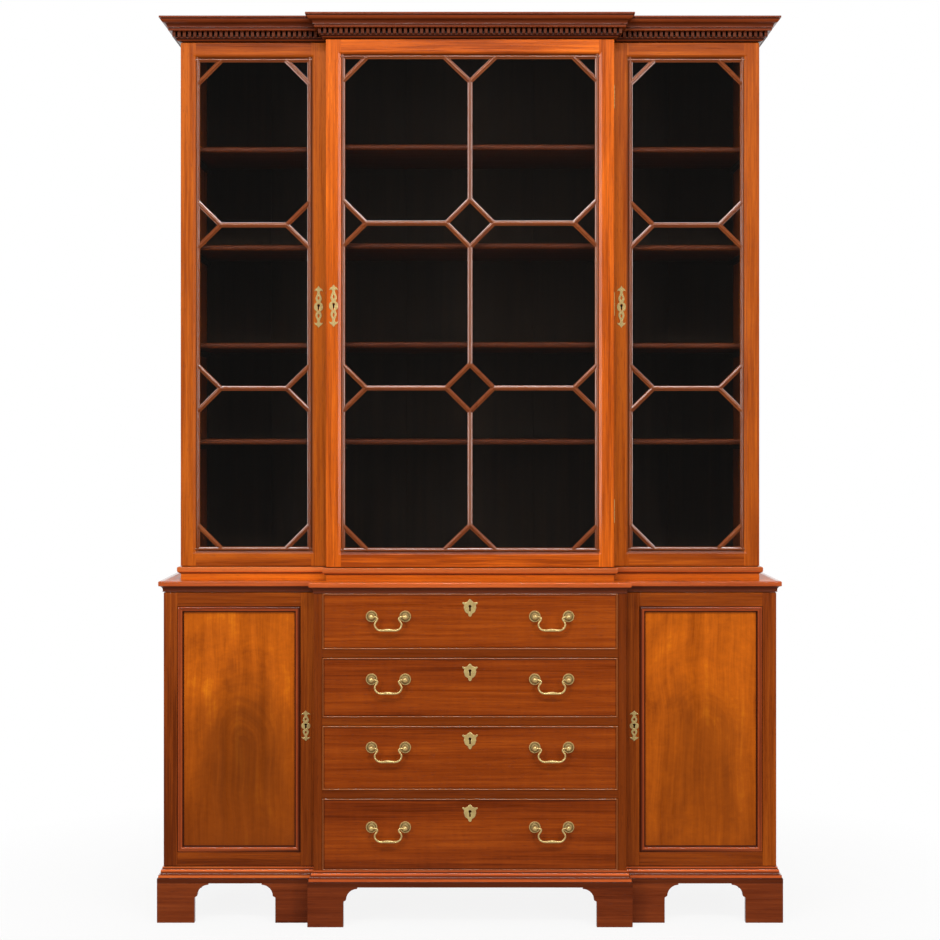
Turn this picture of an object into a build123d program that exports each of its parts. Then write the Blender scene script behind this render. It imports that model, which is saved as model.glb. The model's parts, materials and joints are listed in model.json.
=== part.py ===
from build123d import *
import math
import os

# A breakfront bookcase: a low chest with four drawers between two cupboards, and a glazed
# case with three doors on top of it. Millimetres, X to the right, Y to the back, Z up.
# The origin is on the floor, in the middle of the space that the whole piece takes.

# Plan of the lower case
base_width = 1651.4
base_centre_width = 835
base_centre_depth = 500
breakfront_step = 50

# Plan of the upper case, which stands back from the front and the sides of the lower one
upper_width = 1571
upper_centre_width = 776
front_ledge = 40

# Heights, from the floor up
foot_height = 106
plinth_strip_height = 14
base_moulding_height = 28
drawer_opening_heights = (193, 172, 160, 150)
drawer_rail_height = 22
base_top_thickness = 29
waist_band_height = 18
waist_moulding_height = 18
upper_door_height = 1420
cornice_height = 62

# Thicknesses of the boards
base_upright_thickness = 22
upper_upright_thickness = 20
bottom_board_thickness = 18
top_board_thickness = 18
back_board_thickness = 10
back_board_counts = (2, 4, 2)
cupboard_shelf_thickness = 18
shelf_thickness = 15
plinth_board_thickness = 20

# Gaps and overruns
door_side_gap = 2
door_end_gap = 2
door_back_gap = 0.5
drawer_gap = 1
shelf_gap = 1
plank_gap = 1
overrun = 5

# Round stretches of an outline are drawn with a few chords. A bow is a rise over a chord
chords_per_arc = 3
quarter_round_share = (math.sqrt(2) - 1) / 2
shallow_share = 0.12

# Plinth, feet and base moulding
plinth_projection = 16
base_moulding_projection = 13
base_moulding_fillet = 3
outer_foot_width = 101
inner_foot_width = 90
centre_foot_width = 96
side_foot_width = 100
foot_step_level = 68
foot_step_width = 7
foot_step_rise = 4
foot_arch_radius = 30
foot_block_width = 45

# Base top and waist mouldings
base_top_projection = 13
base_top_cove_depth = 9
base_top_fillet = 3
base_top_nose_height = 14
waist_moulding_projection = 9
waist_fillet = 3

# Cornice and dentils
cornice_projection = 52
bed_height = 11
bed_projection = 13
bed_fillet = 3
dentil_height = 15
dentil_width = 8.3
dentil_gap = 6
dentil_back_projection = 6
dentil_strip_thickness = 3
dentil_projection = 20
dentil_pitch = dentil_width + dentil_gap
corona_projection = 30
corona_height = 8
cyma_start_projection = 33
cyma_end_projection = 48
cornice_fillet_height = 5

# Cupboard doors of the lower case
base_door_thickness = 24
base_door_frame_width = 37
panel_moulding_width = 17
panel_moulding_rise = 2
panel_moulding_bead = 6
panel_depth = 8
panel_thickness = 10

# Glazed doors of the upper case
upper_door_thickness = 22
upper_door_frame_width = 41
frame_slope_width = 8
frame_slope_depth = 3
bar_width = 13
bar_shoulder_width = 8.4
bar_side_width = 6.4
bar_crown_width = 1.8
bar_front_depth = 2
bar_side_depth = 3.4
bar_shoulder_depth = 6
bar_flange_depth = 8
bar_back_depth = 15
bar_web_width = 4
glass_thickness = 2.5
glass_clearance = 0.4

# Pattern of the glazing bars, measured from the middle lines of the outermost bars
corner_pane_size = 66
lower_bar_level = 437
upper_bar_level = 881
fork_reach = 63
fork_rise = 62
diamond_half_width = 64
diamond_half_height = 64
vee_half_width = 70
vee_height = 67
cupboard_lock_lift = 9  # above the middle of the cupboard door

# Shelves of the upper case
deck_height = 26
shelf_spacings = (320, 263, 268, 268)
shelf_setback = 18
shelf_nose = 4
bearer_height = 14
bearer_width = 12

# Drawers
drawer_front_thickness = 20
cock_bead_thickness = 3.4
cock_bead_rise = 2.2
cock_bead_depth = 10
drawer_side_thickness = 10
drawer_bottom_thickness = 6
drawer_bottom_inset = 7
drawer_box_depth = 430
drawer_side_drop = 8
runner_width = 24
dust_board_thickness = 6
rail_depth = 60

# Swan-neck handles
handle_spread = 436
post_spread = 90
rose_radius = 15.5
rose_thickness = 1.4
rose_dome = 3.4
stem_radius = 3.6
knob_radius = 6.8
knob_projection = 20
knob_sides = 8
pin_radius = 1.5
pin_sides = 6
pin_length = 4
pin_clearance = 0.08
bail_end_gap = 0.3
bail_sides = 4
grip_sides = 6
bail_drop = 35
bail_radius = 2.4
bail_grip_radius = 3.4
bail_grip_length = 40
handle_drops = (76, 57, 57, 61)

# Escutcheons and locks
shield_width = 42
shield_height = 47
shield_top_gap = 15
plate_thickness = 1.6
long_plate_width = 25
upper_plate_length = 115
base_plate_length = 82
upper_backset = 21
base_backset = 23
upper_escutcheon_rise = 703
keyhole_radius = 3.4
keyhole_drop = 10
keyhole_slot = 3.4
keyhole_sides = 8
lock_width = 22
lock_height = 48
lock_thickness = 9

# Butt hinges
hinge_height = 64
hinge_leaf_width = 18
hinge_leaf_thickness = 1.8
knuckle_radius = 3.2
knuckle_clearance = 0.3
knuckle_sides = 6
upper_hinge_inset = 150
base_hinge_inset = 90

# Levels that follow from the heights
plinth_top = foot_height + plinth_strip_height
base_floor = plinth_top + base_moulding_height
base_under_top = base_floor + sum(drawer_opening_heights) + drawer_rail_height * (len(drawer_opening_heights) - 1)
base_top_level = base_under_top + base_top_thickness
waist_level = base_top_level + waist_band_height
waist_top = waist_level + waist_moulding_height
upper_door_bottom = waist_top + door_end_gap
upper_door_top = upper_door_bottom + upper_door_height
cornice_level = upper_door_top + door_end_gap
total_height = cornice_level + cornice_height
upper_case_top = total_height - cornice_fillet_height
deck_level = waist_top + deck_height

# Depths that follow from the plan
handle_reach = knob_projection + knob_radius
overall_depth = base_centre_depth + handle_reach
back = overall_depth / 2
base_centre_front = back - base_centre_depth
base_wing_front = base_centre_front + breakfront_step
upper_centre_front = base_centre_front + front_ledge
upper_wing_front = base_wing_front + front_ledge
back_boards_front = back - back_board_thickness
base_door_room = base_door_thickness + door_back_gap
upper_door_room = upper_door_thickness + door_back_gap

# Half widths
base_half = base_width / 2
base_centre_half = base_centre_width / 2
upper_half = upper_width / 2
upper_centre_half = upper_centre_width / 2
sides = (-1, 1)


# General shapes

def board(x0, x1, y0, y1, z0, z1):
    """A rectangular board between two opposite corners."""
    return Pos(x0, y0, z0) * Box(x1 - x0, y1 - y0, z1 - z0, align=(Align.MIN, Align.MIN, Align.MIN))


def rectangle(x0, y0, x1, y1):
    """The corners of a rectangle, anticlockwise."""
    return [Vector(x0, y0), Vector(x1, y0), Vector(x1, y1), Vector(x0, y1)]


def ring(radius, count):
    """The corners of a regular figure with a flat towards each side."""
    turn = 2 * math.pi / count
    return [
        Vector(radius * math.cos(turn * (i + 1 / 2)), radius * math.sin(turn * (i + 1 / 2)))
        for i in range(count)
    ]


def inset(points, distance):
    """A convex anticlockwise outline, moved inwards by a distance."""
    moved = []
    for i, corner in enumerate(points):
        before = (corner - points[i - 1]).normalized().rotate(Axis.Z, 90)
        after = (points[(i + 1) % len(points)] - corner).normalized().rotate(Axis.Z, 90)
        moved.append(corner + (before + after) * (distance / (1 + before.dot(after))))
    return moved


def stack(*levels):
    """A solid with flat sides through like outlines at rising heights."""
    rings = [[Vector(point.X, point.Y, height) for point in outline] for outline, height in levels]
    faces = [Face(Wire.make_polygon(rings[0])), Face(Wire.make_polygon(rings[-1]))]
    for low, high in zip(rings, rings[1:]):
        for i in range(len(low)):
            faces.append(Face(Wire.make_polygon([low[i - 1], low[i], high[i], high[i - 1]])))
    return Solid(Shell(faces))


def arc_points(start, end, bow):
    """The points of a round stretch between two ends. Its rise is a share of its chord, and it
    swells to the right of the way from start to end, or to the left if the share is negative."""
    angle = 4 * math.atan(2 * bow)
    centre = (start + end) / 2 + (end - start).rotate(Axis.Z, 90) / (2 * math.tan(angle / 2))
    turn = math.degrees(angle) / chords_per_arc
    return [centre + (start - centre).rotate(Axis.Z, turn * i) for i in range(1, chords_per_arc)]


def section(points):
    """A face from points (x, y) or (x, y, bow): bow is that of the round stretch that ends there."""
    outline = []
    for start, end in zip(points[-1:] + points[:-1], points):
        if len(end) > 2:
            outline += arc_points(Vector(*start[:2]), Vector(*end[:2]), end[2])
        outline.append(Vector(*end[:2]))
    return make_face(Polyline(*outline, close=True))


def facing_front(y, *pieces):
    """Stands pieces drawn lying on their backs upright, with their zero plane at a depth."""
    stand = Plane(origin=(0, y, 0), x_dir=(1, 0, 0), z_dir=(0, -1, 0)).location
    return [stand * piece for piece in pieces]


def mitred_lengths(corners, profile, level=0, closed=False):
    """Lengths of moulding along a walk round some corners, mitred where they meet.

    The profile's x runs out to the right of the walk, and its y runs up from the level."""
    walls = list(zip(corners, corners[1:] + corners[:1]))
    if not closed:
        walls.pop()
    ways = [(end - start).normalized() for start, end in walls]
    reach = profile.bounding_box().max.X + overrun
    lengths = []
    for i, (start, end) in enumerate(walls):
        way = ways[i]
        before = ways[i - 1] if closed or i > 0 else way
        after = ways[(i + 1) % len(ways)] if closed or i + 1 < len(ways) else way
        origin = end + way * reach + Vector(0, 0, level)
        plane = Plane(origin=origin, x_dir=Vector(way.Y, -way.X), z_dir=-way)
        length = extrude(plane * profile, amount=(end - start).length + 2 * reach)
        length = split(length, bisect_by=Plane(origin=start, z_dir=before + way), keep=Keep.TOP)
        length = split(length, bisect_by=Plane(origin=end, z_dir=-(way + after)), keep=Keep.TOP)
        lengths.append(length)
    return lengths


def case_corners(half_width, half_centre, wing_front, centre_front):
    """The walk round a breakfront plan, from the back of the left side to the right."""
    left = [(-half_width, back), (-half_width, wing_front)]
    left += [(-half_centre, wing_front), (-half_centre, centre_front)]
    return [Vector(x, y) for x, y in left] + [Vector(-x, y) for x, y in reversed(left)]


base_corners = case_corners(base_half, base_centre_half, base_wing_front, base_centre_front)
upper_corners = case_corners(upper_half, upper_centre_half, upper_wing_front, upper_centre_front)


def save(name, pieces):
    """Writes one node, with each piece as a solid of its own."""
    solids = [solid for piece in pieces for solid in piece.solids()]
    export_step(Compound(solids), f"parts/{name}.step")


# Butt hinges

def leaf_depths(joint, front):
    """The two planes of a hinge leaf, in front of the joint between door and case or behind it."""
    way = -1 if front else 1
    near = joint + way * door_back_gap / 2
    return sorted((near, near + way * hinge_leaf_thickness))


def hinge_leaf(x, side, joint, level, front):
    """One leaf, let into the wood of the door or the case."""
    return board(
        *sorted((x, x - side * hinge_leaf_width)), *leaf_depths(joint, front),
        level - hinge_height / 2, level + hinge_height / 2,
    )


def barrel(x, joint, low, high, clearance=0):
    """A stretch of a hinge's barrel, which is centred on the corner where door and case meet."""
    radius = knuckle_radius
    if clearance:
        radius = (knuckle_radius + clearance) / math.cos(math.pi / knuckle_sides)
    outline = ring(radius, knuckle_sides)
    return Pos(x, joint, 0) * stack((outline, low), (outline, high))


def hinge_half(x, side, joint, level, front):
    """A leaf with its knuckles: the middle third on a door, the two end thirds on the case."""
    third = hinge_height / 3
    bottom = level - hinge_height / 2
    lows = [bottom + number * third for number in range(3)]
    own = lows[1:2] if front else lows[::2]
    half = hinge_leaf(x, side, joint, level, front)
    for low in lows:
        if low not in own:
            half -= barrel(x, joint, low, low + third, knuckle_clearance)
    for low in own:
        half += barrel(x, joint, low, low + third)
    return half


# Where each door hangs: the side face, which side it is, the joint plane and the hinge levels

base_door_bottom = base_floor + door_end_gap
base_door_top = base_under_top - door_end_gap
base_hinge_levels = (base_door_bottom + base_hinge_inset, base_door_top - base_hinge_inset)
upper_hinge_levels = (
    upper_door_bottom + upper_hinge_inset,
    (upper_door_bottom + upper_door_top) / 2,
    upper_door_top - upper_hinge_inset,
)
base_joint = base_wing_front + base_door_thickness + door_back_gap / 2
upper_wing_joint = upper_wing_front + upper_door_thickness + door_back_gap / 2
upper_centre_joint = upper_centre_front + upper_door_thickness + door_back_gap / 2
base_door_hangings = [(side * base_half, side, base_joint, base_hinge_levels) for side in sides]
upper_wing_hangings = [(side * upper_half, side, upper_wing_joint, upper_hinge_levels) for side in sides]
centre_hanging = (upper_centre_half, 1, upper_centre_joint, upper_hinge_levels)


def cut_for_hinges(piece, hanging, front):
    """Lets the leaves and barrels of one hanging into a board."""
    x, side, joint, levels = hanging
    for level in levels:
        piece -= hinge_leaf(x, side, joint, level, front)
        piece -= barrel(x, joint, level - hinge_height / 2, level + hinge_height / 2, knuckle_clearance)
    return piece


# Lower case

def base_uprights():
    """Two outer ends and the two sides of the drawer bay."""
    uprights = []
    wing_carcass_front = base_wing_front + base_door_room
    for hanging, side in zip(base_door_hangings, sides):
        outer = board(
            *sorted((side * base_half, side * (base_half - base_upright_thickness))),
            wing_carcass_front, back, plinth_top, base_under_top,
        )
        uprights.append(cut_for_hinges(outer, hanging, front=False))
        uprights.append(board(
            *sorted((side * base_centre_half, side * (base_centre_half - base_upright_thickness))),
            base_centre_front, back, plinth_top, base_under_top,
        ))
    return uprights


def base_bays():
    """The clear spaces between the uprights: left edge, right edge and front of each."""
    wing_inner = base_half - base_upright_thickness
    wing_front = base_wing_front + base_door_room
    inner = base_centre_half - base_upright_thickness
    return [
        (-wing_inner, -base_centre_half, wing_front),
        (-inner, inner, base_centre_front),
        (base_centre_half, wing_inner, wing_front),
    ]


def base_bottom_boards():
    """One floor board in each bay."""
    low = base_floor - bottom_board_thickness
    return [board(x0, x1, front, back_boards_front, low, base_floor) for x0, x1, front in base_bays()]


def base_front_rails():
    """The strip under each cupboard door, which carries the base moulding."""
    return [
        board(
            *sorted((side * base_half, side * base_centre_half)),
            base_wing_front, base_wing_front + base_door_room, plinth_top, base_floor,
        )
        for side in sides
    ]


def planks(x0, x1, count, low, high):
    """Upright back boards side by side in one bay."""
    width = (x1 - x0) / count
    return [
        board(
            x0 + i * width + plank_gap / 2, x0 + (i + 1) * width - plank_gap / 2,
            back_boards_front, back, low, high,
        )
        for i in range(count)
    ]


def base_back_boards():
    """The boarded back of the lower case."""
    boards = []
    for (x0, x1, front), count in zip(base_bays(), back_board_counts):
        boards += planks(x0, x1, count, plinth_top, base_under_top)
    return boards


def base_top():
    """The flat top board, with a thumb moulding planted round three sides."""
    plan = stack((base_corners, base_under_top), (base_corners, base_top_level))
    nose_bottom = base_top_thickness - base_top_nose_height
    profile = section([
        (0, 0),
        (base_top_fillet, 0),
        (base_top_cove_depth, nose_bottom, -quarter_round_share),
        (base_top_projection, nose_bottom + base_top_fillet, quarter_round_share),
        (base_top_projection, base_top_thickness - base_top_fillet),
        (base_top_cove_depth, base_top_thickness, quarter_round_share),
        (0, base_top_thickness),
    ])
    return [plan] + mitred_lengths(base_corners, profile, base_under_top)


def base_moulding():
    """The ogee moulding round the foot of the lower case."""
    fillet = base_moulding_height / 4
    middle = base_moulding_projection / 2
    profile = section([
        (0, 0),
        (base_moulding_projection, 0),
        (base_moulding_projection, fillet),
        (middle, base_moulding_height / 2, -quarter_round_share),
        (base_moulding_fillet, base_moulding_height - base_moulding_fillet, quarter_round_share),
        (base_moulding_fillet, base_moulding_height),
        (0, base_moulding_height),
    ])
    return mitred_lengths(base_corners, profile, plinth_top)


def plinth_section(height):
    """A flat board that stands proud of the case."""
    inner = plinth_projection - plinth_board_thickness
    return section([(inner, 0), (plinth_projection, 0), (plinth_projection, height), (inner, height)])


def plinth_strips():
    """The strip above the feet, mitred at the corners."""
    return mitred_lengths(base_corners, plinth_section(plinth_strip_height), foot_height)


def arch(start, end):
    """The opening between two bracket feet, drawn along the wall and up from the floor."""
    def half(edge, way):
        spring = edge + way * foot_step_width
        crown = spring + way * foot_arch_radius
        level = foot_step_level + foot_step_rise
        return [
            (edge, -overrun), (edge, foot_step_level), (spring, level),
            (crown, level + foot_arch_radius), (crown, foot_height + overrun),
        ]
    left = half(start, 1)
    right = list(reversed(half(end, -1)))
    left[3] = (*left[3], -quarter_round_share)
    right[2] = (*right[2], -quarter_round_share)
    return section(left + right)


def bracket_feet():
    """Bracket feet, cut from the plinth boards by an arch in each long side."""
    boards = mitred_lengths(base_corners, plinth_section(foot_height))
    wing = (outer_foot_width - plinth_projection, inner_foot_width + plinth_projection)
    side = (side_foot_width, side_foot_width - plinth_projection)
    centre_foot = centre_foot_width - plinth_projection
    widths = [side, wing, None, (centre_foot, centre_foot), None, wing[::-1], side[::-1]]
    feet = []
    for piece, start, end, width in zip(boards, base_corners, base_corners[1:], widths):
        if width:
            way = (end - start).normalized()
            outward = Vector(way.Y, -way.X)
            plane = Plane(origin=start - outward * plinth_board_thickness, x_dir=way, z_dir=outward)
            opening = arch(width[0], (end - start).length - width[1])
            piece -= extrude(plane * opening, amount=2 * (plinth_board_thickness + plinth_projection))
        feet.append(piece)
    return feet


def foot_blocks():
    """Corner blocks inside the feet, which stand on the floor and carry the uprights."""
    inner = plinth_board_thickness - plinth_projection
    places = [(base_half - inner, base_wing_front + inner), (base_half - inner, back - foot_block_width)]
    places += [(base_centre_half - inner, base_centre_front + inner)]
    places += [(base_centre_half - inner, back - foot_block_width)]
    return [
        board(
            *sorted((side * x, side * (x - foot_block_width))),
            y, y + foot_block_width, 0, plinth_top,
        )
        for x, y in places for side in sides
    ]


def drawer_levels():
    """The floor of each drawer opening, from the bottom drawer up."""
    levels = [base_floor]
    for height in drawer_opening_heights[:-1]:
        levels.append(levels[-1] + height + drawer_rail_height)
    return levels


def drawer_rails():
    """The rails between the drawers, flush with the front."""
    x0, x1, front = base_bays()[1]
    return [
        board(x0, x1, front, front + rail_depth, level - drawer_rail_height, level)
        for level in drawer_levels()[1:]
    ]


def drawer_runners():
    """A strip on each side of the bay that carries a drawer's side."""
    x0, x1, front = base_bays()[1]
    runners = []
    for level in drawer_levels()[1:]:
        for near, far in ((x0, x0 + runner_width), (x1 - runner_width, x1)):
            runners.append(board(
                near, far, front + rail_depth, back_boards_front, level - drawer_rail_height, level,
            ))
    return runners


def dust_boards():
    """Thin boards between the runners, which part the drawers."""
    x0, x1, front = base_bays()[1]
    middle = (dust_board_thickness - drawer_rail_height) / 2
    return [
        board(
            x0 + runner_width, x1 - runner_width, front + rail_depth, back_boards_front,
            level + middle - dust_board_thickness, level + middle,
        )
        for level in drawer_levels()[1:]
    ]


def cupboard_shelves():
    """One shelf half way up each cupboard, with the bearers under its ends."""
    pieces = []
    level = (base_floor + base_under_top) / 2
    for x0, x1, front in (base_bays()[0], base_bays()[2]):
        pieces.append(board(
            x0 + shelf_gap / 2, x1 - shelf_gap / 2, front + shelf_setback, back_boards_front,
            level - cupboard_shelf_thickness, level,
        ))
    return pieces


def cupboard_bearers():
    """The strips on the cupboard walls that carry the shelves."""
    level = (base_floor + base_under_top) / 2 - cupboard_shelf_thickness
    pieces = []
    for x0, x1, front in (base_bays()[0], base_bays()[2]):
        pieces += bearers(x0, x1, front, level)
    return pieces


def bearers(x0, x1, front, level):
    """A strip on each wall of a bay, under a shelf whose underside is at the level."""
    return [
        board(near, near + bearer_width, front + shelf_setback, back_boards_front, level - bearer_height, level)
        for near in (x0, x1 - bearer_width)
    ]


# Upper case

def upper_bays():
    """The clear spaces between the uprights: left edge, right edge and front of each."""
    wing_inner = upper_half - upper_upright_thickness
    inner = upper_centre_half - upper_upright_thickness
    wing_front = upper_wing_front + upper_door_room
    return [
        (-wing_inner, -upper_centre_half, wing_front),
        (-inner, inner, upper_centre_front + upper_door_room),
        (upper_centre_half, wing_inner, wing_front),
    ]


def upper_uprights():
    """Two outer ends and two partitions, which run from the lower case to the cornice."""
    uprights = []
    for hanging, side in zip(upper_wing_hangings, sides):
        outer = board(
            *sorted((side * upper_half, side * (upper_half - upper_upright_thickness))),
            upper_wing_front + upper_door_room, back, base_top_level, upper_case_top,
        )
        inner = board(
            *sorted((side * upper_centre_half, side * (upper_centre_half - upper_upright_thickness))),
            upper_centre_front + upper_door_room, back, base_top_level, upper_case_top,
        )
        if side == centre_hanging[1]:
            inner = cut_for_hinges(inner, centre_hanging, front=False)
        uprights += [cut_for_hinges(outer, hanging, front=False), inner]
    return uprights


def case_rails():
    """The boards that close the front of the upper case under and over the doors."""
    rails = []
    for low, high in ((base_top_level, waist_top), (cornice_level, upper_case_top)):
        for side in sides:
            rails.append(board(
                *sorted((side * upper_half, side * upper_centre_half)),
                upper_wing_front, upper_wing_front + upper_door_room, low, high,
            ))
        rails.append(board(
            -upper_centre_half, upper_centre_half,
            upper_centre_front, upper_centre_front + upper_door_room, low, high,
        ))
    return rails


def upper_bottom_boards():
    """One deck board in each bay."""
    low = deck_level - bottom_board_thickness
    return [board(x0, x1, front, back_boards_front, low, deck_level) for x0, x1, front in upper_bays()]


def upper_top_boards():
    """One top board in each bay."""
    low = upper_case_top - top_board_thickness
    return [board(x0, x1, front, back_boards_front, low, upper_case_top) for x0, x1, front in upper_bays()]


def upper_back_boards():
    """The boarded back of the upper case."""
    boards = []
    for (x0, x1, front), count in zip(upper_bays(), back_board_counts):
        boards += planks(x0, x1, count, base_top_level, upper_case_top)
    return boards


def shelf_levels():
    """The top face of each shelf, from the lowest up."""
    return [deck_level + sum(shelf_spacings[:i + 1]) for i in range(len(shelf_spacings))]


def adjustable_shelves():
    """Four shelves in each bay, with a nosed front edge."""
    shelves = []
    for x0, x1, front in upper_bays():
        nose = front + shelf_setback
        profile = section([
            (nose, shelf_nose), (nose + shelf_nose, 0), (back_boards_front, 0),
            (back_boards_front, shelf_thickness), (nose + shelf_nose, shelf_thickness),
            (nose, shelf_thickness - shelf_nose),
        ])
        for level in shelf_levels():
            origin = (x0 + shelf_gap / 2, 0, level - shelf_thickness)
            plane = Plane(origin=origin, x_dir=(0, 1, 0), z_dir=(1, 0, 0))
            shelves.append(extrude(plane * profile, amount=x1 - x0 - shelf_gap))
    return shelves


def shelf_bearers():
    """The strips on the uprights that carry the shelves."""
    pieces = []
    for x0, x1, front in upper_bays():
        for level in shelf_levels():
            pieces += bearers(x0, x1, front + shelf_nose, level - shelf_thickness)
    return pieces


def waist_moulding():
    """The small moulding round the foot of the upper case."""
    profile = section([
        (0, 0),
        (waist_fillet, 0),
        (waist_moulding_projection, waist_moulding_height / 2, quarter_round_share),
        (waist_moulding_projection, waist_moulding_height - waist_fillet),
        (waist_moulding_projection - waist_fillet, waist_moulding_height, quarter_round_share),
        (0, waist_moulding_height),
    ])
    return mitred_lengths(upper_corners, profile, waist_level)


def cornice_moulding():
    """Bed mould, recess for the dentils, corona and cyma, in mitred lengths."""
    dentil_top = bed_height + dentil_height
    corona_top = dentil_top + corona_height
    cyma_top = cornice_height - cornice_fillet_height
    cyma_middle = ((cyma_start_projection + cyma_end_projection) / 2, (corona_top + cyma_top) / 2)
    profile = section([
        (0, 0),
        (bed_fillet, 0),
        (bed_projection, bed_height - bed_fillet, quarter_round_share),
        (bed_projection, bed_height),
        (dentil_back_projection, bed_height),
        (dentil_back_projection, dentil_top),
        (corona_projection, dentil_top),
        (corona_projection, corona_top),
        (cyma_start_projection, corona_top),
        (*cyma_middle, -quarter_round_share),
        (cyma_end_projection, cyma_top, quarter_round_share),
        (cornice_projection, cyma_top),
        (cornice_projection, cornice_height),
        (0, cornice_height),
    ])
    return mitred_lengths(upper_corners, profile, cornice_level)


def dentil_strip(first_tooth, last_tooth, strip_start, strip_end):
    """A strip of dentils seen from above: x along the wall, y out from it."""
    strip = dentil_back_projection + dentil_strip_thickness
    room = last_tooth - first_tooth
    count = round((room + dentil_gap) / dentil_pitch)
    pitch = (room - dentil_width) / (count - 1)
    points = [(strip_start, dentil_back_projection), (strip_start, strip)]
    for i in range(count):
        left = first_tooth + i * pitch
        right = left + dentil_width
        points += [(left, strip), (left, dentil_projection), (right, dentil_projection), (right, strip)]
    points += [(strip_end, strip), (strip_end, dentil_back_projection)]
    return [point for before, point in zip(points[-1:] + points, points) if point != before]


def dentil_course():
    """Dentils cut in strips, one along each wall. A front strip turns each outer corner."""
    strip = dentil_back_projection + dentil_strip_thickness
    inner = dentil_projection + dentil_gap
    square = (0, 0)
    turned = (-dentil_projection, -dentil_projection)
    butted = (dentil_gap - dentil_back_projection, -dentil_back_projection)
    inner_first = (inner, dentil_back_projection)
    inner_last = (inner, strip)
    ends = [
        (square, butted), (turned, inner_first), (inner_last, butted), (turned, turned),
        (butted, inner_last), (inner_first, turned), (butted, square),
    ]
    level = cornice_level + bed_height
    strips = []
    for start, end, (before, after) in zip(upper_corners, upper_corners[1:], ends):
        way = (end - start).normalized()
        length = (end - start).length
        points = dentil_strip(before[0], length - after[0], before[1], length - after[1])
        walk = [start + way * along + Vector(way.Y, -way.X) * out for along, out in points]
        strips.append(stack((walk, level), (walk, level + dentil_height)))
    return strips


# Doors

def frame_boards(door, width, thickness):
    """Two stiles and two rails of a door, drawn flat with the front at zero."""
    x0, y0, x1, y1 = door
    stiles = [rectangle(x0, y0, x0 + width, y1), rectangle(x1 - width, y0, x1, y1)]
    rails = [rectangle(x0 + width, y0, x1 - width, y0 + width), rectangle(x0 + width, y1 - width, x1 - width, y1)]
    return [stack((outline, -thickness), (outline, 0)) for outline in stiles + rails]


def lock_case(x, level, thickness):
    """A lock let into the back of a door or drawer front, drawn flat like the door."""
    outline = rectangle(x - lock_width / 2, level - lock_height / 2, x + lock_width / 2, level + lock_height / 2)
    return stack((outline, -thickness), (outline, lock_thickness - thickness))


def keyhole(depth):
    """A round hole with a slot below it, drawn flat with the lock's middle at the origin."""
    head = ring(keyhole_radius, keyhole_sides)
    slot = rectangle(-keyhole_slot / 2, -keyhole_drop, keyhole_slot / 2, 0)
    hole = stack((head, -depth), (head, overrun)) + stack((slot, -depth), (slot, overrun))
    return Pos(0, keyhole_radius, 0) * hole


long_plate_shares = [
    (0, 1), (0.26, 0.9), (0.3, 0.82), (0.62, 0.82), (1, 0.68), (0.62, 0.72), (0.3, 0.7), (0.22, 0.58),
    (0.62, 0.5), (0.68, 0.4), (0.52, 0.28), (0.88, 0.16), (1, 0),
]
pierced_shares = [(0, 0.54), (0.3, 0.44), (0, 0.3), (-0.3, 0.44)]
shield_shares = [
    (0, 0), (0.3, -0.1), (0.62, -0.25), (0.84, -0.2), (1, -0.25), (0.84, -0.34), (0.76, -0.48),
    (0.68, -0.66), (0.42, -0.82), (0.2, -0.9), (0, -1),
]


def mirrored(points):
    """A half outline from top to bottom on the right, with its mirror image on the left."""
    return points + [(-x, y) for x, y in reversed(points) if x > 0]


def long_plate(length):
    """A pierced brass plate with a keyhole in a ring between two leafy ends."""
    half_width = long_plate_width / 2
    half_length = length / 2
    upper = [(x * half_width, y * half_length) for x, y in long_plate_shares]
    right = upper + [(x, -y) for x, y in reversed(upper[:-1])]
    outline = [Vector(x, y) for x, y in reversed(mirrored(right))]
    plate = stack((outline, 0), (outline, plate_thickness))
    for sign in sides:
        hole = [Vector(x * half_width, sign * y * half_length) for x, y in pierced_shares]
        plate -= stack((hole, -overrun), (hole, overrun))
    return plate - keyhole(overrun)


def shield_plate():
    """A shield with ears, cusped sides and a drop, hung from its top point."""
    right = [(x * shield_width / 2, y * shield_height) for x, y in shield_shares]
    outline = [Vector(x, y) for x, y in reversed(mirrored(right))]
    plate = stack((outline, 0), (outline, plate_thickness))
    return plate - Pos(0, -shield_height / 2, 0) * keyhole(overrun)


def door_brassware(thickness, hanging, plate, lock_x, level):
    """Keyhole plate, lock and hinge halves of one door, standing in place."""
    x, side, joint, hinge_levels = hanging
    front = joint - door_back_gap / 2 - thickness
    pieces = facing_front(front, Pos(lock_x, level, 0) * plate, lock_case(lock_x, level, thickness))
    return pieces + [hinge_half(x, side, joint, hinge_level, front=True) for hinge_level in hinge_levels]


def door_mouth(door, width):
    """The outline of the opening inside a door's frame."""
    x0, y0, x1, y1 = door
    return rectangle(x0 + width, y0 + width, x1 - width, y1 - width)


def lock_place(door, side, backset):
    """The keyhole's place across a door, near the edge away from its hinges."""
    return door[0] + backset if side > 0 else door[2] - backset


def door_frame(boards, thickness, hanging, lock_x, level):
    """The boards of one door's frame, cut for its hinges and its lock, standing in place."""
    front = hanging[2] - door_back_gap / 2 - thickness
    lock = lock_case(lock_x, level, thickness) + Pos(lock_x, level, 0) * keyhole(thickness - lock_thickness)
    pieces = facing_front(front, *[piece - lock for piece in boards])
    return [cut_for_hinges(piece, hanging, front=True) for piece in pieces]


# Glazed doors

def mirror_pane(pane, x):
    """The mirror image of a pane across an upright line, still anticlockwise."""
    return [Vector(2 * x - point.X, point.Y) for point in reversed(pane)]


def glazing_field(door):
    """The rectangle whose sides are the middle lines of the outermost bars."""
    x0, y0, x1, y1 = door
    border = upper_door_frame_width + bar_shoulder_width / 2
    return x0 + border, y0 + border, x1 - border, y1 - border


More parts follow.
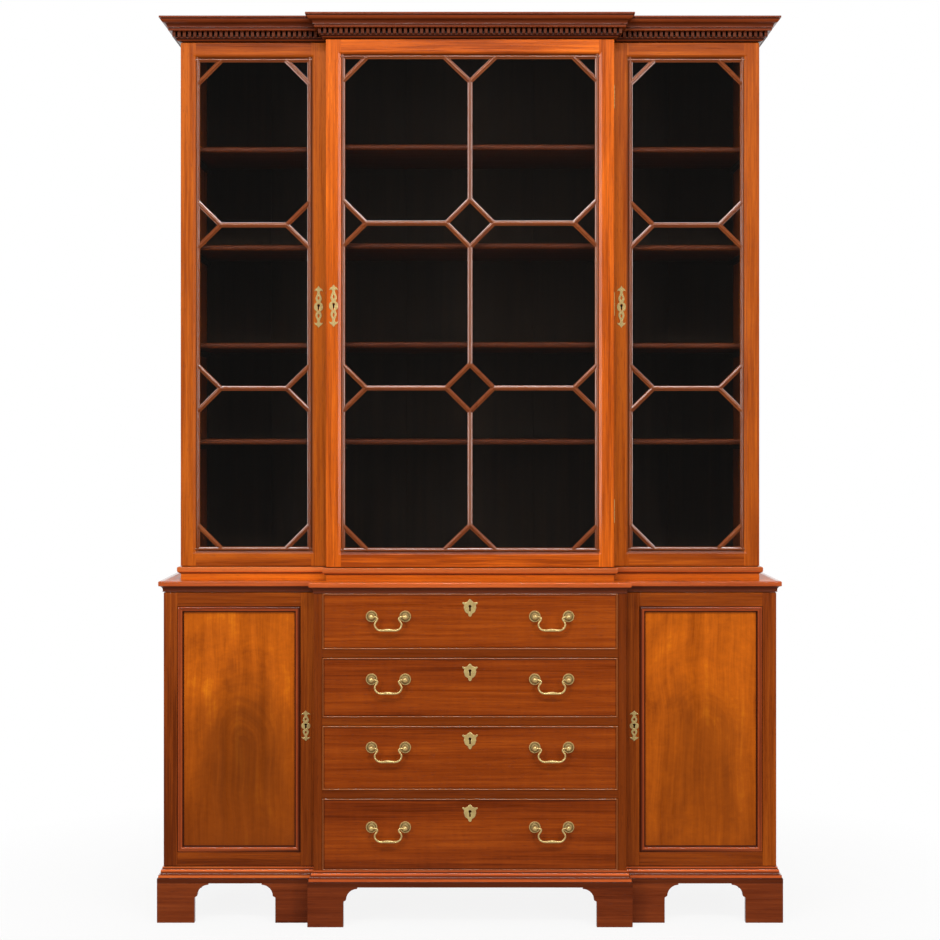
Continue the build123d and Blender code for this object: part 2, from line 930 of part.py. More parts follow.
def bar_levels(y0):
    """The heights at which the bars fork."""
    return y0 + lower_bar_level, y0 + upper_bar_level


def corner_panes(field):
    """A three-cornered pane in each corner of the field."""
    x0, y0, x1, y1 = field
    size = corner_pane_size
    middle = (x0 + x1) / 2
    left = [
        [Vector(x0, y0), Vector(x0 + size, y0), Vector(x0, y0 + size)],
        [Vector(x0, y1 - size), Vector(x0 + size, y1), Vector(x0, y1)],
    ]
    return left + [mirror_pane(pane, middle) for pane in left]


def fork_panes(field):
    """A three-cornered pane against each stile at both levels."""
    x0, y0, x1, y1 = field
    middle = (x0 + x1) / 2
    left = [
        [Vector(x0, level - fork_rise), Vector(x0 + fork_reach, level), Vector(x0, level + fork_rise)]
        for level in bar_levels(y0)
    ]
    return left + [mirror_pane(pane, middle) for pane in left]


def left_edge(x0, low, high):
    """The points of a large pane down its left side, from high to low."""
    return [Vector(x0, high), Vector(x0, low)]


def wing_panes(field):
    """Eleven panes: three large ones between forked bars, and eight small ones."""
    x0, y0, x1, y1 = field
    size = corner_pane_size
    low, high = bar_levels(y0)
    bottom = [
        Vector(x0 + size, y0), Vector(x1 - size, y0), Vector(x1, y0 + size), Vector(x1, low - fork_rise),
        Vector(x1 - fork_reach, low), Vector(x0 + fork_reach, low),
        *left_edge(x0, y0 + size, low - fork_rise),
    ]
    middle = [
        Vector(x0 + fork_reach, low), Vector(x1 - fork_reach, low), Vector(x1, low + fork_rise),
        Vector(x1, high - fork_rise), Vector(x1 - fork_reach, high), Vector(x0 + fork_reach, high),
        *left_edge(x0, low + fork_rise, high - fork_rise),
    ]
    top = [
        Vector(x0 + fork_reach, high), Vector(x1 - fork_reach, high), Vector(x1, high + fork_rise),
        Vector(x1, y1 - size), Vector(x1 - size, y1), Vector(x0 + size, y1),
        *left_edge(x0, high + fork_rise, y1 - size),
    ]
    return [bottom, middle, top] + corner_panes(field) + fork_panes(field)


def centre_panes(field):
    """Eighteen panes: six large ones, two diamonds, two vees and eight small ones."""
    x0, y0, x1, y1 = field
    size = corner_pane_size
    low, high = bar_levels(y0)
    middle = (x0 + x1) / 2
    lozenge_left = middle - diamond_half_width
    bottom = [
        Vector(x0 + size, y0), Vector(middle - vee_half_width, y0), Vector(middle, y0 + vee_height),
        Vector(middle, low - diamond_half_height), Vector(lozenge_left, low), Vector(x0 + fork_reach, low),
        *left_edge(x0, y0 + size, low - fork_rise),
    ]
    centre = [
        Vector(x0 + fork_reach, low), Vector(lozenge_left, low), Vector(middle, low + diamond_half_height),
        Vector(middle, high - diamond_half_height), Vector(lozenge_left, high), Vector(x0 + fork_reach, high),
        *left_edge(x0, low + fork_rise, high - fork_rise),
    ]
    top = [
        Vector(x0 + fork_reach, high), Vector(lozenge_left, high), Vector(middle, high + diamond_half_height),
        Vector(middle, y1 - vee_height), Vector(middle - vee_half_width, y1), Vector(x0 + size, y1),
        *left_edge(x0, high + fork_rise, y1 - size),
    ]
    left = [bottom, centre, top]
    diamonds = [
        [
            Vector(lozenge_left, level), Vector(middle, level - diamond_half_height),
            Vector(middle + diamond_half_width, level), Vector(middle, level + diamond_half_height),
        ]
        for level in (low, high)
    ]
    vees = [
        [Vector(middle - vee_half_width, y0), Vector(middle + vee_half_width, y0), Vector(middle, y0 + vee_height)],
        [Vector(middle, y1 - vee_height), Vector(middle + vee_half_width, y1), Vector(middle - vee_half_width, y1)],
    ]
    right = [mirror_pane(pane, middle) for pane in left]
    return left + right + diamonds + vees + corner_panes(field) + fork_panes(field)


def pane_opening(pane):
    """What is cut from the bars round one pane: the moulded front, the sight and the rebate."""
    sight = inset(pane, bar_width / 2)
    crown = inset(pane, bar_crown_width / 2)
    front = stack(
        (inset(pane, bar_shoulder_width / 2), -bar_shoulder_depth),
        (inset(pane, bar_side_width / 2), -bar_side_depth),
        (crown, -bar_front_depth),
        (crown, overrun),
    )
    through = stack((sight, -bar_back_depth - overrun), (sight, overrun))
    rebate_outline = inset(pane, bar_web_width / 2)
    rebate = stack((rebate_outline, -bar_back_depth - overrun), (rebate_outline, -bar_flange_depth))
    return front + through + rebate


def glazing_bars(field, panes):
    """Moulded glazing bars in one lattice: a rounded front, and a web behind between the panes."""
    middle_line = rectangle(*field)
    outer = inset(middle_line, -bar_shoulder_width / 2)
    body = stack((outer, -bar_back_depth), (outer, -bar_shoulder_depth))
    bead = stack(
        (outer, -bar_shoulder_depth),
        (inset(middle_line, -bar_side_width / 2), -bar_side_depth),
        (inset(middle_line, -bar_crown_width / 2), -bar_front_depth),
    )
    return (body + bead) - [pane_opening(pane) for pane in panes]


def glass_panes(panes):
    """One sheet of glass for each pane, seated behind the bars."""
    edge = bar_web_width / 2 + glass_clearance
    return [
        stack((inset(pane, edge), -bar_flange_depth - glass_thickness), (inset(pane, edge), -bar_flange_depth))
        for pane in panes
    ]


def save_glazed_door(name, door, hanging, pane_pattern):
    """Writes the four nodes of one glazed door."""
    thickness = upper_door_thickness
    front = hanging[2] - door_back_gap / 2 - thickness
    level = upper_door_bottom + upper_escutcheon_rise
    lock_x = lock_place(door, hanging[1], upper_backset)
    field = glazing_field(door)
    panes = pane_pattern(field)
    mouth = door_mouth(door, upper_door_frame_width)
    wide_mouth = inset(mouth, -frame_slope_width)
    slope = stack((mouth, -frame_slope_depth), (wide_mouth, 0), (wide_mouth, overrun))
    boards = [piece - slope for piece in frame_boards(door, upper_door_frame_width, thickness)]
    save(f"{name}_frame", door_frame(boards, thickness, hanging, lock_x, level))
    save(f"{name}_glazing_bars", facing_front(front, glazing_bars(field, panes)))
    save(f"{name}_glass", facing_front(front, *glass_panes(panes)))
    plate = long_plate(upper_plate_length)
    save(f"{name}_brassware", door_brassware(thickness, hanging, plate, lock_x, level))


# Cupboard doors

def panel_moulding(mouth):
    """Four mitred lengths between the frame and the sunk panel."""
    bead_end = panel_moulding_bead
    profile = section([
        (0, -panel_depth),
        (0, 0),
        (bead_end / 2, panel_moulding_rise, -shallow_share),
        (bead_end, 0, -shallow_share),
        (panel_moulding_width - panel_moulding_rise, panel_moulding_rise - panel_depth, quarter_round_share),
        (panel_moulding_width, panel_moulding_rise - panel_depth),
        (panel_moulding_width, -panel_depth),
    ])
    return mitred_lengths(list(reversed(mouth)), profile, closed=True)


def save_cupboard_door(name, door, hanging):
    """Writes the four nodes of one cupboard door."""
    thickness = base_door_thickness
    front = hanging[2] - door_back_gap / 2 - thickness
    level = (door[1] + door[3]) / 2 + cupboard_lock_lift
    lock_x = lock_place(door, hanging[1], base_backset)
    mouth = door_mouth(door, base_door_frame_width)
    panel = stack((mouth, -panel_depth - panel_thickness), (mouth, -panel_depth))
    boards = frame_boards(door, base_door_frame_width, thickness)
    save(f"{name}_frame", door_frame(boards, thickness, hanging, lock_x, level))
    save(f"{name}_panel", facing_front(front, panel))
    save(f"{name}_panel_moulding", facing_front(front, *panel_moulding(mouth)))
    plate = long_plate(base_plate_length)
    save(f"{name}_brassware", door_brassware(thickness, hanging, plate, lock_x, level))


# Drawers

def drawer_outline(number):
    """The face of one drawer, counted from the bottom, inside its opening."""
    x0, x1, front = base_bays()[1]
    low = drawer_levels()[number]
    high = low + drawer_opening_heights[number]
    return x0 + drawer_gap, low, x1 - drawer_gap, high - drawer_gap


def shield_level(number):
    """The top point of a drawer's shield."""
    return drawer_outline(number)[3] - shield_top_gap


def drawer_lock(number):
    """The lock behind a drawer's keyhole, drawn flat."""
    return lock_case(0, shield_level(number) - shield_height / 2, drawer_front_thickness)


def drawer_front(number):
    """The front board, rebated for the cock bead, and the four mitred strips of the bead."""
    x0, y0, x1, y1 = drawer_outline(number)
    whole = rectangle(x0, y0, x1, y1)
    field = inset(whole, cock_bead_thickness)
    front = stack((whole, -drawer_front_thickness), (whole, -cock_bead_depth))
    front += stack((field, -cock_bead_depth), (field, 0))
    key_depth = drawer_front_thickness - lock_thickness
    front -= drawer_lock(number) + Pos(0, shield_level(number) - shield_height / 2, 0) * keyhole(key_depth)
    ease = cock_bead_thickness / 3
    profile = section([
        (0, -cock_bead_depth), (0, cock_bead_rise - ease), (ease, cock_bead_rise),
        (cock_bead_thickness - ease, cock_bead_rise), (cock_bead_thickness, cock_bead_rise - ease),
        (cock_bead_thickness, -cock_bead_depth),
    ])
    beads = mitred_lengths(list(reversed(whole)), profile, closed=True)
    return facing_front(base_centre_front, front, *beads)


def drawer_box(number):
    """Two sides, a back and a bottom behind the front."""
    x0, low, x1, high = drawer_outline(number)
    near = base_centre_front + drawer_front_thickness
    far = base_centre_front + drawer_box_depth
    top = high - drawer_side_drop
    inner0 = x0 + drawer_side_thickness
    inner1 = x1 - drawer_side_thickness
    floor = low + drawer_bottom_inset
    return [
        board(x0, inner0, near, far, low, top),
        board(inner1, x1, near, far, low, top),
        board(inner0, inner1, far - drawer_side_thickness, far, low, top),
        board(inner0, inner1, near, far - drawer_side_thickness, floor, floor + drawer_bottom_thickness),
    ]


def handle_level(number):
    """The height of the knobs on one drawer's front."""
    return drawer_outline(number)[3] - handle_drops[number]


def handle_post():
    """A domed rose, a stem and a knob, drawn flat on the drawer front."""
    neck = knob_projection - knob_radius
    return stack(
        (ring(rose_radius, knob_sides), 0),
        (ring(rose_radius, knob_sides), rose_thickness),
        (ring(stem_radius, knob_sides), rose_dome),
        (ring(stem_radius, knob_sides), neck),
        (ring(knob_radius, knob_sides), knob_projection - knob_radius / 2),
        (ring(knob_radius, knob_sides), knob_projection + knob_radius / 2),
        (ring(stem_radius, knob_sides), knob_projection + knob_radius),
    )


def knob_flat():
    """How far the flat side of a knob is from its middle."""
    return knob_radius * math.cos(math.pi / knob_sides)


def bail_pin(radius, start, length):
    """A short pin along X, drawn from a start."""
    plane = Plane(origin=(start, 0, 0), x_dir=(0, 1, 0), z_dir=(1, 0, 0))
    return extrude(plane * RegularPolygon(radius, pin_sides), amount=length)


def drawer_brassware(number):
    """The shield, the lock and the two pairs of handle posts of one drawer."""
    pieces = [Pos(0, shield_level(number), 0) * shield_plate(), drawer_lock(number)]
    bore_radius = (pin_radius + pin_clearance) / math.cos(math.pi / pin_sides)
    for side in sides:
        for end in sides:
            bore = bail_pin(bore_radius, knob_flat() - pin_length, pin_length + overrun)
            if end > 0:
                bore = mirror(bore, about=Plane.YZ)
            post = handle_post() - Pos(0, 0, knob_projection) * bore
            x = side * handle_spread / 2 + end * post_spread / 2
            pieces.append(Pos(x, handle_level(number), 0) * post)
    return facing_front(base_centre_front, *pieces)


bail_path_shares = [
    (0.04, 0), (0.14, -0.1), (0.185, -0.25), (0.15, -0.42), (0.115, -0.58), (0.13, -0.78),
    (0.19, -0.92), (0.29, -1),
]


def bail():
    """One swan-neck bail about the middle between its knobs, hanging in the plane of X and Z."""
    start = -post_spread / 2 + knob_flat() + bail_end_gap
    half = [Vector(start, 0, 0)]
    for along, down in bail_path_shares:
        half.append(Vector(start + along * post_spread, 0, down * bail_drop))
    path = half + [Vector(-point.X, 0, point.Z) for point in reversed(half)]
    plane = Plane(origin=path[0], x_dir=(0, 1, 0), z_dir=(1, 0, 0))
    wire = sweep(plane * RegularPolygon(bail_radius, bail_sides), path=Polyline(*path), transition=Transition.RIGHT)
    thin = ring(bail_radius, grip_sides)
    grip = stack((thin, -bail_grip_length / 2), (ring(bail_grip_radius, grip_sides), 0), (thin, bail_grip_length / 2))
    grip = Pos(0, 0, -bail_drop) * Rotation(0, 90, 0) * grip
    pin = bail_pin(pin_radius, start - pin_length, pin_length)
    return wire + grip + pin + mirror(pin, about=Plane.YZ)


def save_drawer(number):
    """Writes the nodes of one drawer, which is named by its place from the top."""
    name = f"drawer_{len(drawer_opening_heights) - number}"
    save(f"{name}_front", drawer_front(number))
    save(f"{name}_box", drawer_box(number))
    save(f"{name}_brassware", drawer_brassware(number))
    for side, word in zip(sides, ("left", "right")):
        place = Pos(side * handle_spread / 2, base_centre_front - knob_projection, handle_level(number))
        save(f"{name}_{word}_bail", [place * bail()])


# The whole piece

def hinge_fixed_halves():
    """Every hinge half that is screwed to the case."""
    pieces = []
    for x, side, joint, levels in base_door_hangings + upper_wing_hangings + [centre_hanging]:
        pieces += [hinge_half(x, side, joint, level, front=False) for level in levels]
    return pieces


os.makedirs("parts", exist_ok=True)

save("base_uprights", base_uprights())
save("base_floor_boards", base_bottom_boards() + base_front_rails())
save("base_back_boards", base_back_boards())
save("base_top", base_top())
save("base_moulding", base_moulding())
save("plinth_strips", plinth_strips())
save("bracket_feet", bracket_feet())
save("foot_blocks", foot_blocks())
save("drawer_dividers", drawer_rails() + drawer_runners() + dust_boards())
save("cupboard_shelves", cupboard_shelves() + cupboard_bearers())
save("upper_uprights", upper_uprights())
save("case_rails", case_rails())
save("upper_deck_and_top", upper_bottom_boards() + upper_top_boards())
save("upper_back_boards", upper_back_boards())
save("adjustable_shelves", adjustable_shelves())
save("shelf_bearers", shelf_bearers())
save("waist_moulding", waist_moulding())
save("cornice_moulding", cornice_moulding())
save("dentil_course", dentil_course())
save("hinge_fixed_halves", hinge_fixed_halves())

left_upper_door = (-upper_half, upper_door_bottom, -upper_centre_half - door_side_gap, upper_door_top)
right_upper_door = (upper_centre_half + door_side_gap, upper_door_bottom, upper_half, upper_door_top)
centre_upper_door = (-upper_centre_half, upper_door_bottom, upper_centre_half, upper_door_top)
save_glazed_door("left_upper_door", left_upper_door, upper_wing_hangings[0], wing_panes)
save_glazed_door("centre_upper_door", centre_upper_door, centre_hanging, centre_panes)
save_glazed_door("right_upper_door", right_upper_door, upper_wing_hangings[1], wing_panes)

left_base_door = (-base_half, base_door_bottom, -base_centre_half - door_side_gap, base_door_top)
right_base_door = (base_centre_half + door_side_gap, base_door_bottom, base_half, base_door_top)
save_cupboard_door("left_base_door", left_base_door, base_door_hangings[0])
save_cupboard_door("right_base_door", right_base_door, base_door_hangings[1])

for number in range(len(drawer_opening_heights)):
    save_drawer(number)
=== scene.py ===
"""A breakfront bookcase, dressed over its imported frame: cases, mouldings, doors, drawers, brass and stage."""
import json
import math
from functools import partial

import bmesh
import bpy
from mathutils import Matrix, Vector

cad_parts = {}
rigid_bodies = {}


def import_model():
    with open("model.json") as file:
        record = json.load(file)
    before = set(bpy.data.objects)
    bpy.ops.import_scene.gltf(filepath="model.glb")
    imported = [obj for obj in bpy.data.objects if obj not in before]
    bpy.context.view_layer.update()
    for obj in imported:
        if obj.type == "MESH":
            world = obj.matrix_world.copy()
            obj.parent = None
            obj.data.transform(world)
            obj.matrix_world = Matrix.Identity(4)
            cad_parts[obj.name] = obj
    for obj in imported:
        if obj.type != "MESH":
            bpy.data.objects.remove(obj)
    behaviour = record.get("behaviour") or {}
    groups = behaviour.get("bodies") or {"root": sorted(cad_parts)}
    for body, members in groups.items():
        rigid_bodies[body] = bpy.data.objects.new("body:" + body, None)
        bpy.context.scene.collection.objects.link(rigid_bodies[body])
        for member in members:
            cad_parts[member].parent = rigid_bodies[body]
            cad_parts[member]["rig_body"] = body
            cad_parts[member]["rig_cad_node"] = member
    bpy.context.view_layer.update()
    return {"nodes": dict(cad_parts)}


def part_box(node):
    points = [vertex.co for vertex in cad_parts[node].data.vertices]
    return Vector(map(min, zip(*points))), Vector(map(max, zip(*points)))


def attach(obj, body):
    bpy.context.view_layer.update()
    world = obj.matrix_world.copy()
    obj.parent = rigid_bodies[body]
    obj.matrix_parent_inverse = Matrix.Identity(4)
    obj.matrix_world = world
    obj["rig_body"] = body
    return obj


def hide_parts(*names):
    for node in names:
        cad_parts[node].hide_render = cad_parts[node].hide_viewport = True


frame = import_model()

bl_info = {
    "name": "Breakfront bookcase",
    "version": (1, 0, 0),
    "blender": (4, 5, 0),
    "location": "3D View > Sidebar > Bookcase",
    "description": "Builds a glazed mahogany breakfront bookcase over its packed frame",
    "category": "Object",
}

MM = 0.001
SAME_PLACE, SAME_WAY = 1e-6, 1e-4  # metres and radians that count as nothing

# Plan and levels of the two cases, in millimetres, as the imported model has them

BACK = 263.4
BASE_HALF, BASE_CENTRE_HALF = 825.7, 417.5
BASE_WING_FRONT, BASE_CENTRE_FRONT = -186.6, -236.6
UPPER_HALF, UPPER_CENTRE_HALF = 785.5, 388.0
UPPER_WING_FRONT, UPPER_CENTRE_FRONT = -146.6, -196.6
FOOT_TOP, PLINTH_TOP, BASE_UNDER_TOP = 106.0, 120.0, 889.0
WAIST_LEVEL, CORNICE_LEVEL = 936.0, 2378.0

DRAWER_FACES = {  # low and high edge of each drawer's face
    "drawer_1": (739.0, 888.0),
    "drawer_2": (557.0, 716.0),
    "drawer_3": (363.0, 534.0),
    "drawer_4": (148.0, 340.0),
}
DRAWER_HALF = 394.5
HANDLE_LEVELS = {"drawer_1": 827.0, "drawer_2": 659.0, "drawer_3": 477.0, "drawer_4": 264.0}
HANDLE_MIDDLE, POST_HALF, KNOB_OUT = 218.0, 45.0, 20.0
SHIELD_DROP, SHIELD_HEIGHT = 15.0, 47.0

UPPER_DOORS = {  # and what their frames are finished in
    "left_upper_door": "frame", "centre_upper_door": "centre_frame", "right_upper_door": "frame"}
UPPER_DOOR_THICKNESS, BASE_DOOR_THICKNESS = 22.0, 24.0
BASE_DOORS = {"left_base_door": -1, "right_base_door": 1}  # and their side of the middle
BASE_DOOR_FOOT, BASE_DOOR_TOP = 150.0, 887.0
BASE_DOOR_FRAME, BASE_DOOR_GAP = 37.0, 2.0


# What a user would change

class BookcaseSizes(bpy.types.PropertyGroup):
    """Small dimensions of the finish."""
    arris: bpy.props.FloatProperty(
        name="Eased arris", description="Width of the eased edges of boards and frames",
        default=0.0007, min=0.0, unit="LENGTH")
    tooth_arris: bpy.props.FloatProperty(
        name="Dentil arris", description="Width of the eased edges of the dentils",
        default=0.0004, min=0.0, unit="LENGTH")
    brass_arris: bpy.props.FloatProperty(
        name="Brass arris", description="Width of the filed edges of the brass plates",
        default=0.0005, min=0.0, unit="LENGTH")
    camera_distance: bpy.props.FloatProperty(
        name="Camera distance", description="From the front of the lower case's middle part to the camera",
        default=5.5, unit="LENGTH")
    camera_height: bpy.props.FloatProperty(
        name="Camera height", description="Height of the camera above the floor",
        default=1.325, unit="LENGTH")


class BookcaseColours(bpy.types.PropertyGroup):
    """Colours of the finishes."""
    mahogany: bpy.props.FloatVectorProperty(
        name="Mahogany", description="Middle tone of the polished mahogany of frames and cases",
        default=(0.47, 0.095, 0.0035), size=3, subtype="COLOR", min=0.0, max=1.0)
    figured: bpy.props.FloatVectorProperty(
        name="Panel veneer", description="Middle tone of the figured veneer on the cupboard doors",
        default=(0.56, 0.115, 0.0015), size=3, subtype="COLOR", min=0.0, max=1.0)
    drawer: bpy.props.FloatVectorProperty(
        name="Drawer veneer", description="Middle tone of the veneer on the drawer fronts",
        default=(0.29, 0.046, 0.0015), size=3, subtype="COLOR", min=0.0, max=1.0)
    moulding: bpy.props.FloatVectorProperty(
        name="Moulding mahogany", description="Middle tone of the mouldings and glazing bars",
        default=(0.25, 0.044, 0.008), size=3, subtype="COLOR", min=0.0, max=1.0)
    pine: bpy.props.FloatVectorProperty(
        name="Stained pine", description="Middle tone of the backs, linings and drawer boxes",
        default=(0.15, 0.07, 0.03), size=3, subtype="COLOR", min=0.0, max=1.0)
    brass: bpy.props.FloatVectorProperty(
        name="Brass", description="Colour of the lacquered brass",
        default=(1.0, 0.75, 0.3), size=3, subtype="COLOR", min=0.0, max=1.0)


# Working by hand in Blender

def deselect():
    """Leave edit mode and clear the selection."""
    if bpy.context.object and bpy.context.object.mode != "OBJECT":
        bpy.ops.object.mode_set(mode="OBJECT")
    bpy.ops.object.select_all(action="DESELECT")


def select(*pieces):
    """Select pieces, the first of them active."""
    deselect()
    for piece in pieces:
        piece.select_set(True)
    bpy.context.view_layer.objects.active = pieces[0]


def edit(piece):
    """Open a piece in edit mode with all of it selected."""
    select(piece)
    bpy.ops.object.mode_set(mode="EDIT")
    bpy.ops.mesh.select_mode(type="FACE")
    bpy.ops.mesh.select_all(action="SELECT")


def close():
    """Go back to object mode."""
    bpy.ops.object.mode_set(mode="OBJECT")
    return bpy.context.object


def copied(piece, name):
    """A copy of a piece with a mesh of its own."""
    copy = piece.copy()
    copy.data = piece.data.copy()
    copy.name = name
    copy.data.name = name
    copy.hide_render = False
    copy.hide_viewport = False
    copy.parent = None
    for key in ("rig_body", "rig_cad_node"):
        if key in copy:
            del copy[key]
    bpy.context.scene.collection.objects.link(copy)
    return copy


def joined(name, pieces):
    """Make one piece of several."""
    select(*pieces)
    if len(pieces) > 1:
        bpy.ops.object.join()
    piece = bpy.context.object
    piece.name = name
    piece.data.name = name
    return piece


def settle_here(piece):
    """Put a piece's place and turn into its mesh."""
    select(piece)
    bpy.ops.object.transform_apply(location=True, rotation=True, scale=True)
    return piece


def settle(piece, place, turn=(0, 0, 0)):
    """Move and turn a piece, and put its place into its mesh."""
    piece.location = Vector(place) * MM
    piece.rotation_euler = turn
    return settle_here(piece)


def modified(piece, kind, **settings):
    """Add a modifier to a piece and apply it."""
    select(piece)
    modifier = piece.modifiers.new(kind.title(), kind)
    for key, value in settings.items():
        setattr(modifier, key, value)
    bpy.ops.object.modifier_apply(modifier=modifier.name)
    return piece


SHARP = math.radians(32)  # arrises that turn by less stay as they are


def eased(piece, width, segments):
    """Round every arris of a piece a little."""
    return modified(
        piece, "BEVEL", width=width, segments=segments, limit_method="ANGLE",
        angle_limit=SHARP, use_clamp_overlap=False, miter_outer="MITER_ARC")


def smooth(piece, degrees=30):
    """Shade the round stretches of a piece smooth."""
    select(piece)
    bpy.ops.object.shade_smooth_by_angle(angle=math.radians(degrees))
    return piece


def outward(piece):
    """Merge the doubles of a closed shape and point its faces outwards."""
    edit(piece)
    bpy.ops.mesh.remove_doubles(threshold=SAME_PLACE)
    bpy.ops.mesh.normals_make_consistent(inside=False)
    return close()


def board(x0, x1, y0, y1, z0, z1):
    """A board between three pairs of planes, in millimetres."""
    deselect()
    low, high = Vector((x0, y0, z0)) * MM, Vector((x1, y1, z1)) * MM
    bpy.ops.mesh.primitive_cube_add(size=1, location=(low + high) / 2, scale=high - low)
    return settle_here(bpy.context.object)


def curved(points, chords=6):
    """Turn (x, y, bow) points into an outline: the stretch that ends at one swells by that share of it."""
    outline = []
    for start, end in zip(points[-1:] + points[:-1], points):
        if len(end) > 2:
            a, b = Vector(start[:2]), Vector(end[:2])
            angle = 4 * math.atan(2 * end[2])
            side = Vector((a.y - b.y, b.x - a.x))
            centre = (a + b) / 2 + side / (2 * math.tan(angle / 2))
            for i in range(1, chords):
                turn, arm = angle * i / chords, a - centre
                outline.append((
                    centre.x + arm.x * math.cos(turn) - arm.y * math.sin(turn),
                    centre.y + arm.x * math.sin(turn) + arm.y * math.cos(turn)))
        outline.append(tuple(end[:2]))
    return outline


def drawn(points, closed=True):
    """Draw a line in the plane of X and Z, point by point from one vertex, and fill it if it closes."""
    corners = [Vector((x, 0, z)) * MM for x, z in points]
    deselect()
    bpy.ops.mesh.primitive_plane_add(size=MM, location=corners[0])
    bpy.ops.object.mode_set(mode="EDIT")
    bpy.ops.mesh.select_mode(type="VERT")
    bpy.ops.mesh.select_all(action="SELECT")
    bpy.ops.mesh.merge(type="CENTER")
    for start, end in zip(corners, corners[1:]):
        bpy.ops.mesh.extrude_vertices_move(TRANSFORM_OT_translate={"value": end - start})
    if closed:
        bpy.ops.mesh.select_all(action="SELECT")
        bpy.ops.mesh.edge_face_add()
    return settle_here(close())


def thickened(piece, depth):
    """Extrude a flat outline along Y."""
    edit(piece)
    bpy.ops.mesh.extrude_region_move(TRANSFORM_OT_translate={"value": (0, depth * MM, 0)})
    bpy.ops.mesh.select_all(action="SELECT")
    bpy.ops.mesh.normals_make_consistent(inside=False)
    return close()


def turned(points, steps):
    """Spin a line (radius, height) round the Z axis into a closed shape."""
    piece = drawn(points, closed=False)
    select(piece)
    bpy.ops.object.mode_set(mode="EDIT")
    bpy.ops.mesh.select_all(action="SELECT")
    bpy.ops.mesh.spin(steps=steps, angle=math.tau, center=(0, 0, 0), axis=(0, 0, 1))
    close()
    return outward(piece)


def paint_shade(piece, values):
    """Write how much painted shade darkens each point, from 0 to 1."""
    marks = piece.data.attributes.get("painted_shade") or piece.data.attributes.new("painted_shade", "FLOAT", "POINT")
    marks.data.foreach_set("value", values)
    return piece


def hollows(outline, spread=3.0, full=55.0):
    """How hollow an outline is near each point: its inward turning, in degrees, within a spread."""
    count = len(outline)
    area = sum(outline[i - 1][0] * outline[i][1] - outline[i][0] * outline[i - 1][1] for i in range(count))
    turns = []
    for i in range(count):
        before = Vector(outline[i]) - Vector(outline[i - 1])
        after = Vector(outline[(i + 1) % count]) - Vector(outline[i])
        turn = math.degrees(math.atan2(before.x * after.y - before.y * after.x, before.dot(after)))
        turns.append(max(0.0, -turn if area > 0 else turn))
    return [
        min(1.0, sum(turns[j] for j in range(count)
                     if (Vector(outline[i]) - Vector(outline[j])).length < spread) / full)
        for i in range(count)]


MITRE_SPARE, BAR_SPARE = 5.0, 30.0  # how much longer a length is made than it stays, at each end


def moulded_length(blank, start, end, reach, level, cuts):
    """One length of a moulding from a flat outline, turned along its wall and cut by upright planes."""
    way = (end - start).normalized()
    length = thickened(copied(blank, "length"), (end - start).length + 2 * reach)
    origin = start - way * reach
    settle(length, (origin.x, origin.y, level), (0, 0, math.atan2(way.y, way.x) - math.pi / 2))
    edit(length)
    for corner, normal in cuts:
        bpy.ops.mesh.select_all(action="SELECT")
        bpy.ops.mesh.bisect(
            plane_co=(corner.x * MM, corner.y * MM, 0), plane_no=(normal.x, normal.y, 0),
            use_fill=True, clear_inner=True)
    bpy.ops.mesh.select_all(action="SELECT")
    bpy.ops.mesh.normals_make_consistent(inside=False)
    return close()


def mitred_lengths(outline, walk, level=0.0, closed=False, dark_below=None):
    """Lengths of a moulding round a walk, mitred where they meet.

    The outline's x runs out to the right of the walk, and its y runs up from the level. The moulding
    is painted in shade in its hollows, and painted in shadow wherever it lies lower than dark_below."""
    blank = drawn(outline)
    shades = hollows(outline)
    if dark_below is not None:
        shades = [1.0 if y < dark_below else shade for (x, y), shade in zip(outline, shades)]
    paint_shade(blank, shades)
    corners = [Vector(corner) for corner in walk]
    walls = list(zip(corners, corners[1:] + corners[:1]))
    if not closed:
        walls.pop()
    ways = [(end - start).normalized() for start, end in walls]
    reach = max(x for x, y in outline) + MITRE_SPARE
    lengths = []
    for i, (start, end) in enumerate(walls):
        before = ways[i - 1] if closed or i > 0 else ways[i]
        after = ways[(i + 1) % len(ways)] if closed or i + 1 < len(ways) else ways[i]
        cuts = [(start, before + ways[i]), (end, -ways[i] - after)]
        lengths.append(moulded_length(blank, start, end, reach, level, cuts))
    bpy.data.objects.remove(blank)
    return lengths


def mitred_run(name, outline, walk, level=0.0, closed=False, dark_below=None):
    """A moulding round a walk in one piece."""
    return joined(name, mitred_lengths(outline, walk, level, closed, dark_below))


def standing(piece, front):
    """Stand a piece drawn lying on its back upright, with its zero plane at a depth."""
    return settle(piece, (0, front, 0), (math.pi / 2, 0, 0))


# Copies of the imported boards

def linked(count, pairs):
    """Number things by the group that they belong to, where pairs of them belong together."""
    leader = list(range(count))

    def find(index):
        while leader[index] != index:
            leader[index] = leader[leader[index]]
            index = leader[index]
        return index
    for a, b in pairs:
        leader[find(a)] = find(b)
    return [find(index) for index in range(count)]


def solid_numbers(mesh):
    """Number the closed solids among a mesh's loose triangles: two triangles belong together
    where an edge has just the two of them."""
    corners = [tuple(round(value / SAME_PLACE) for value in vertex.co) for vertex in mesh.vertices]
    edges = {}
    for face in mesh.polygons:
        ring = [corners[index] for index in face.vertices]
        for a, b in zip(ring, ring[1:] + ring[:1]):
            edges.setdefault((min(a, b), max(a, b)), []).append(face.index)
    return linked(len(mesh.polygons), [faces for faces in edges.values() if len(faces) == 2])


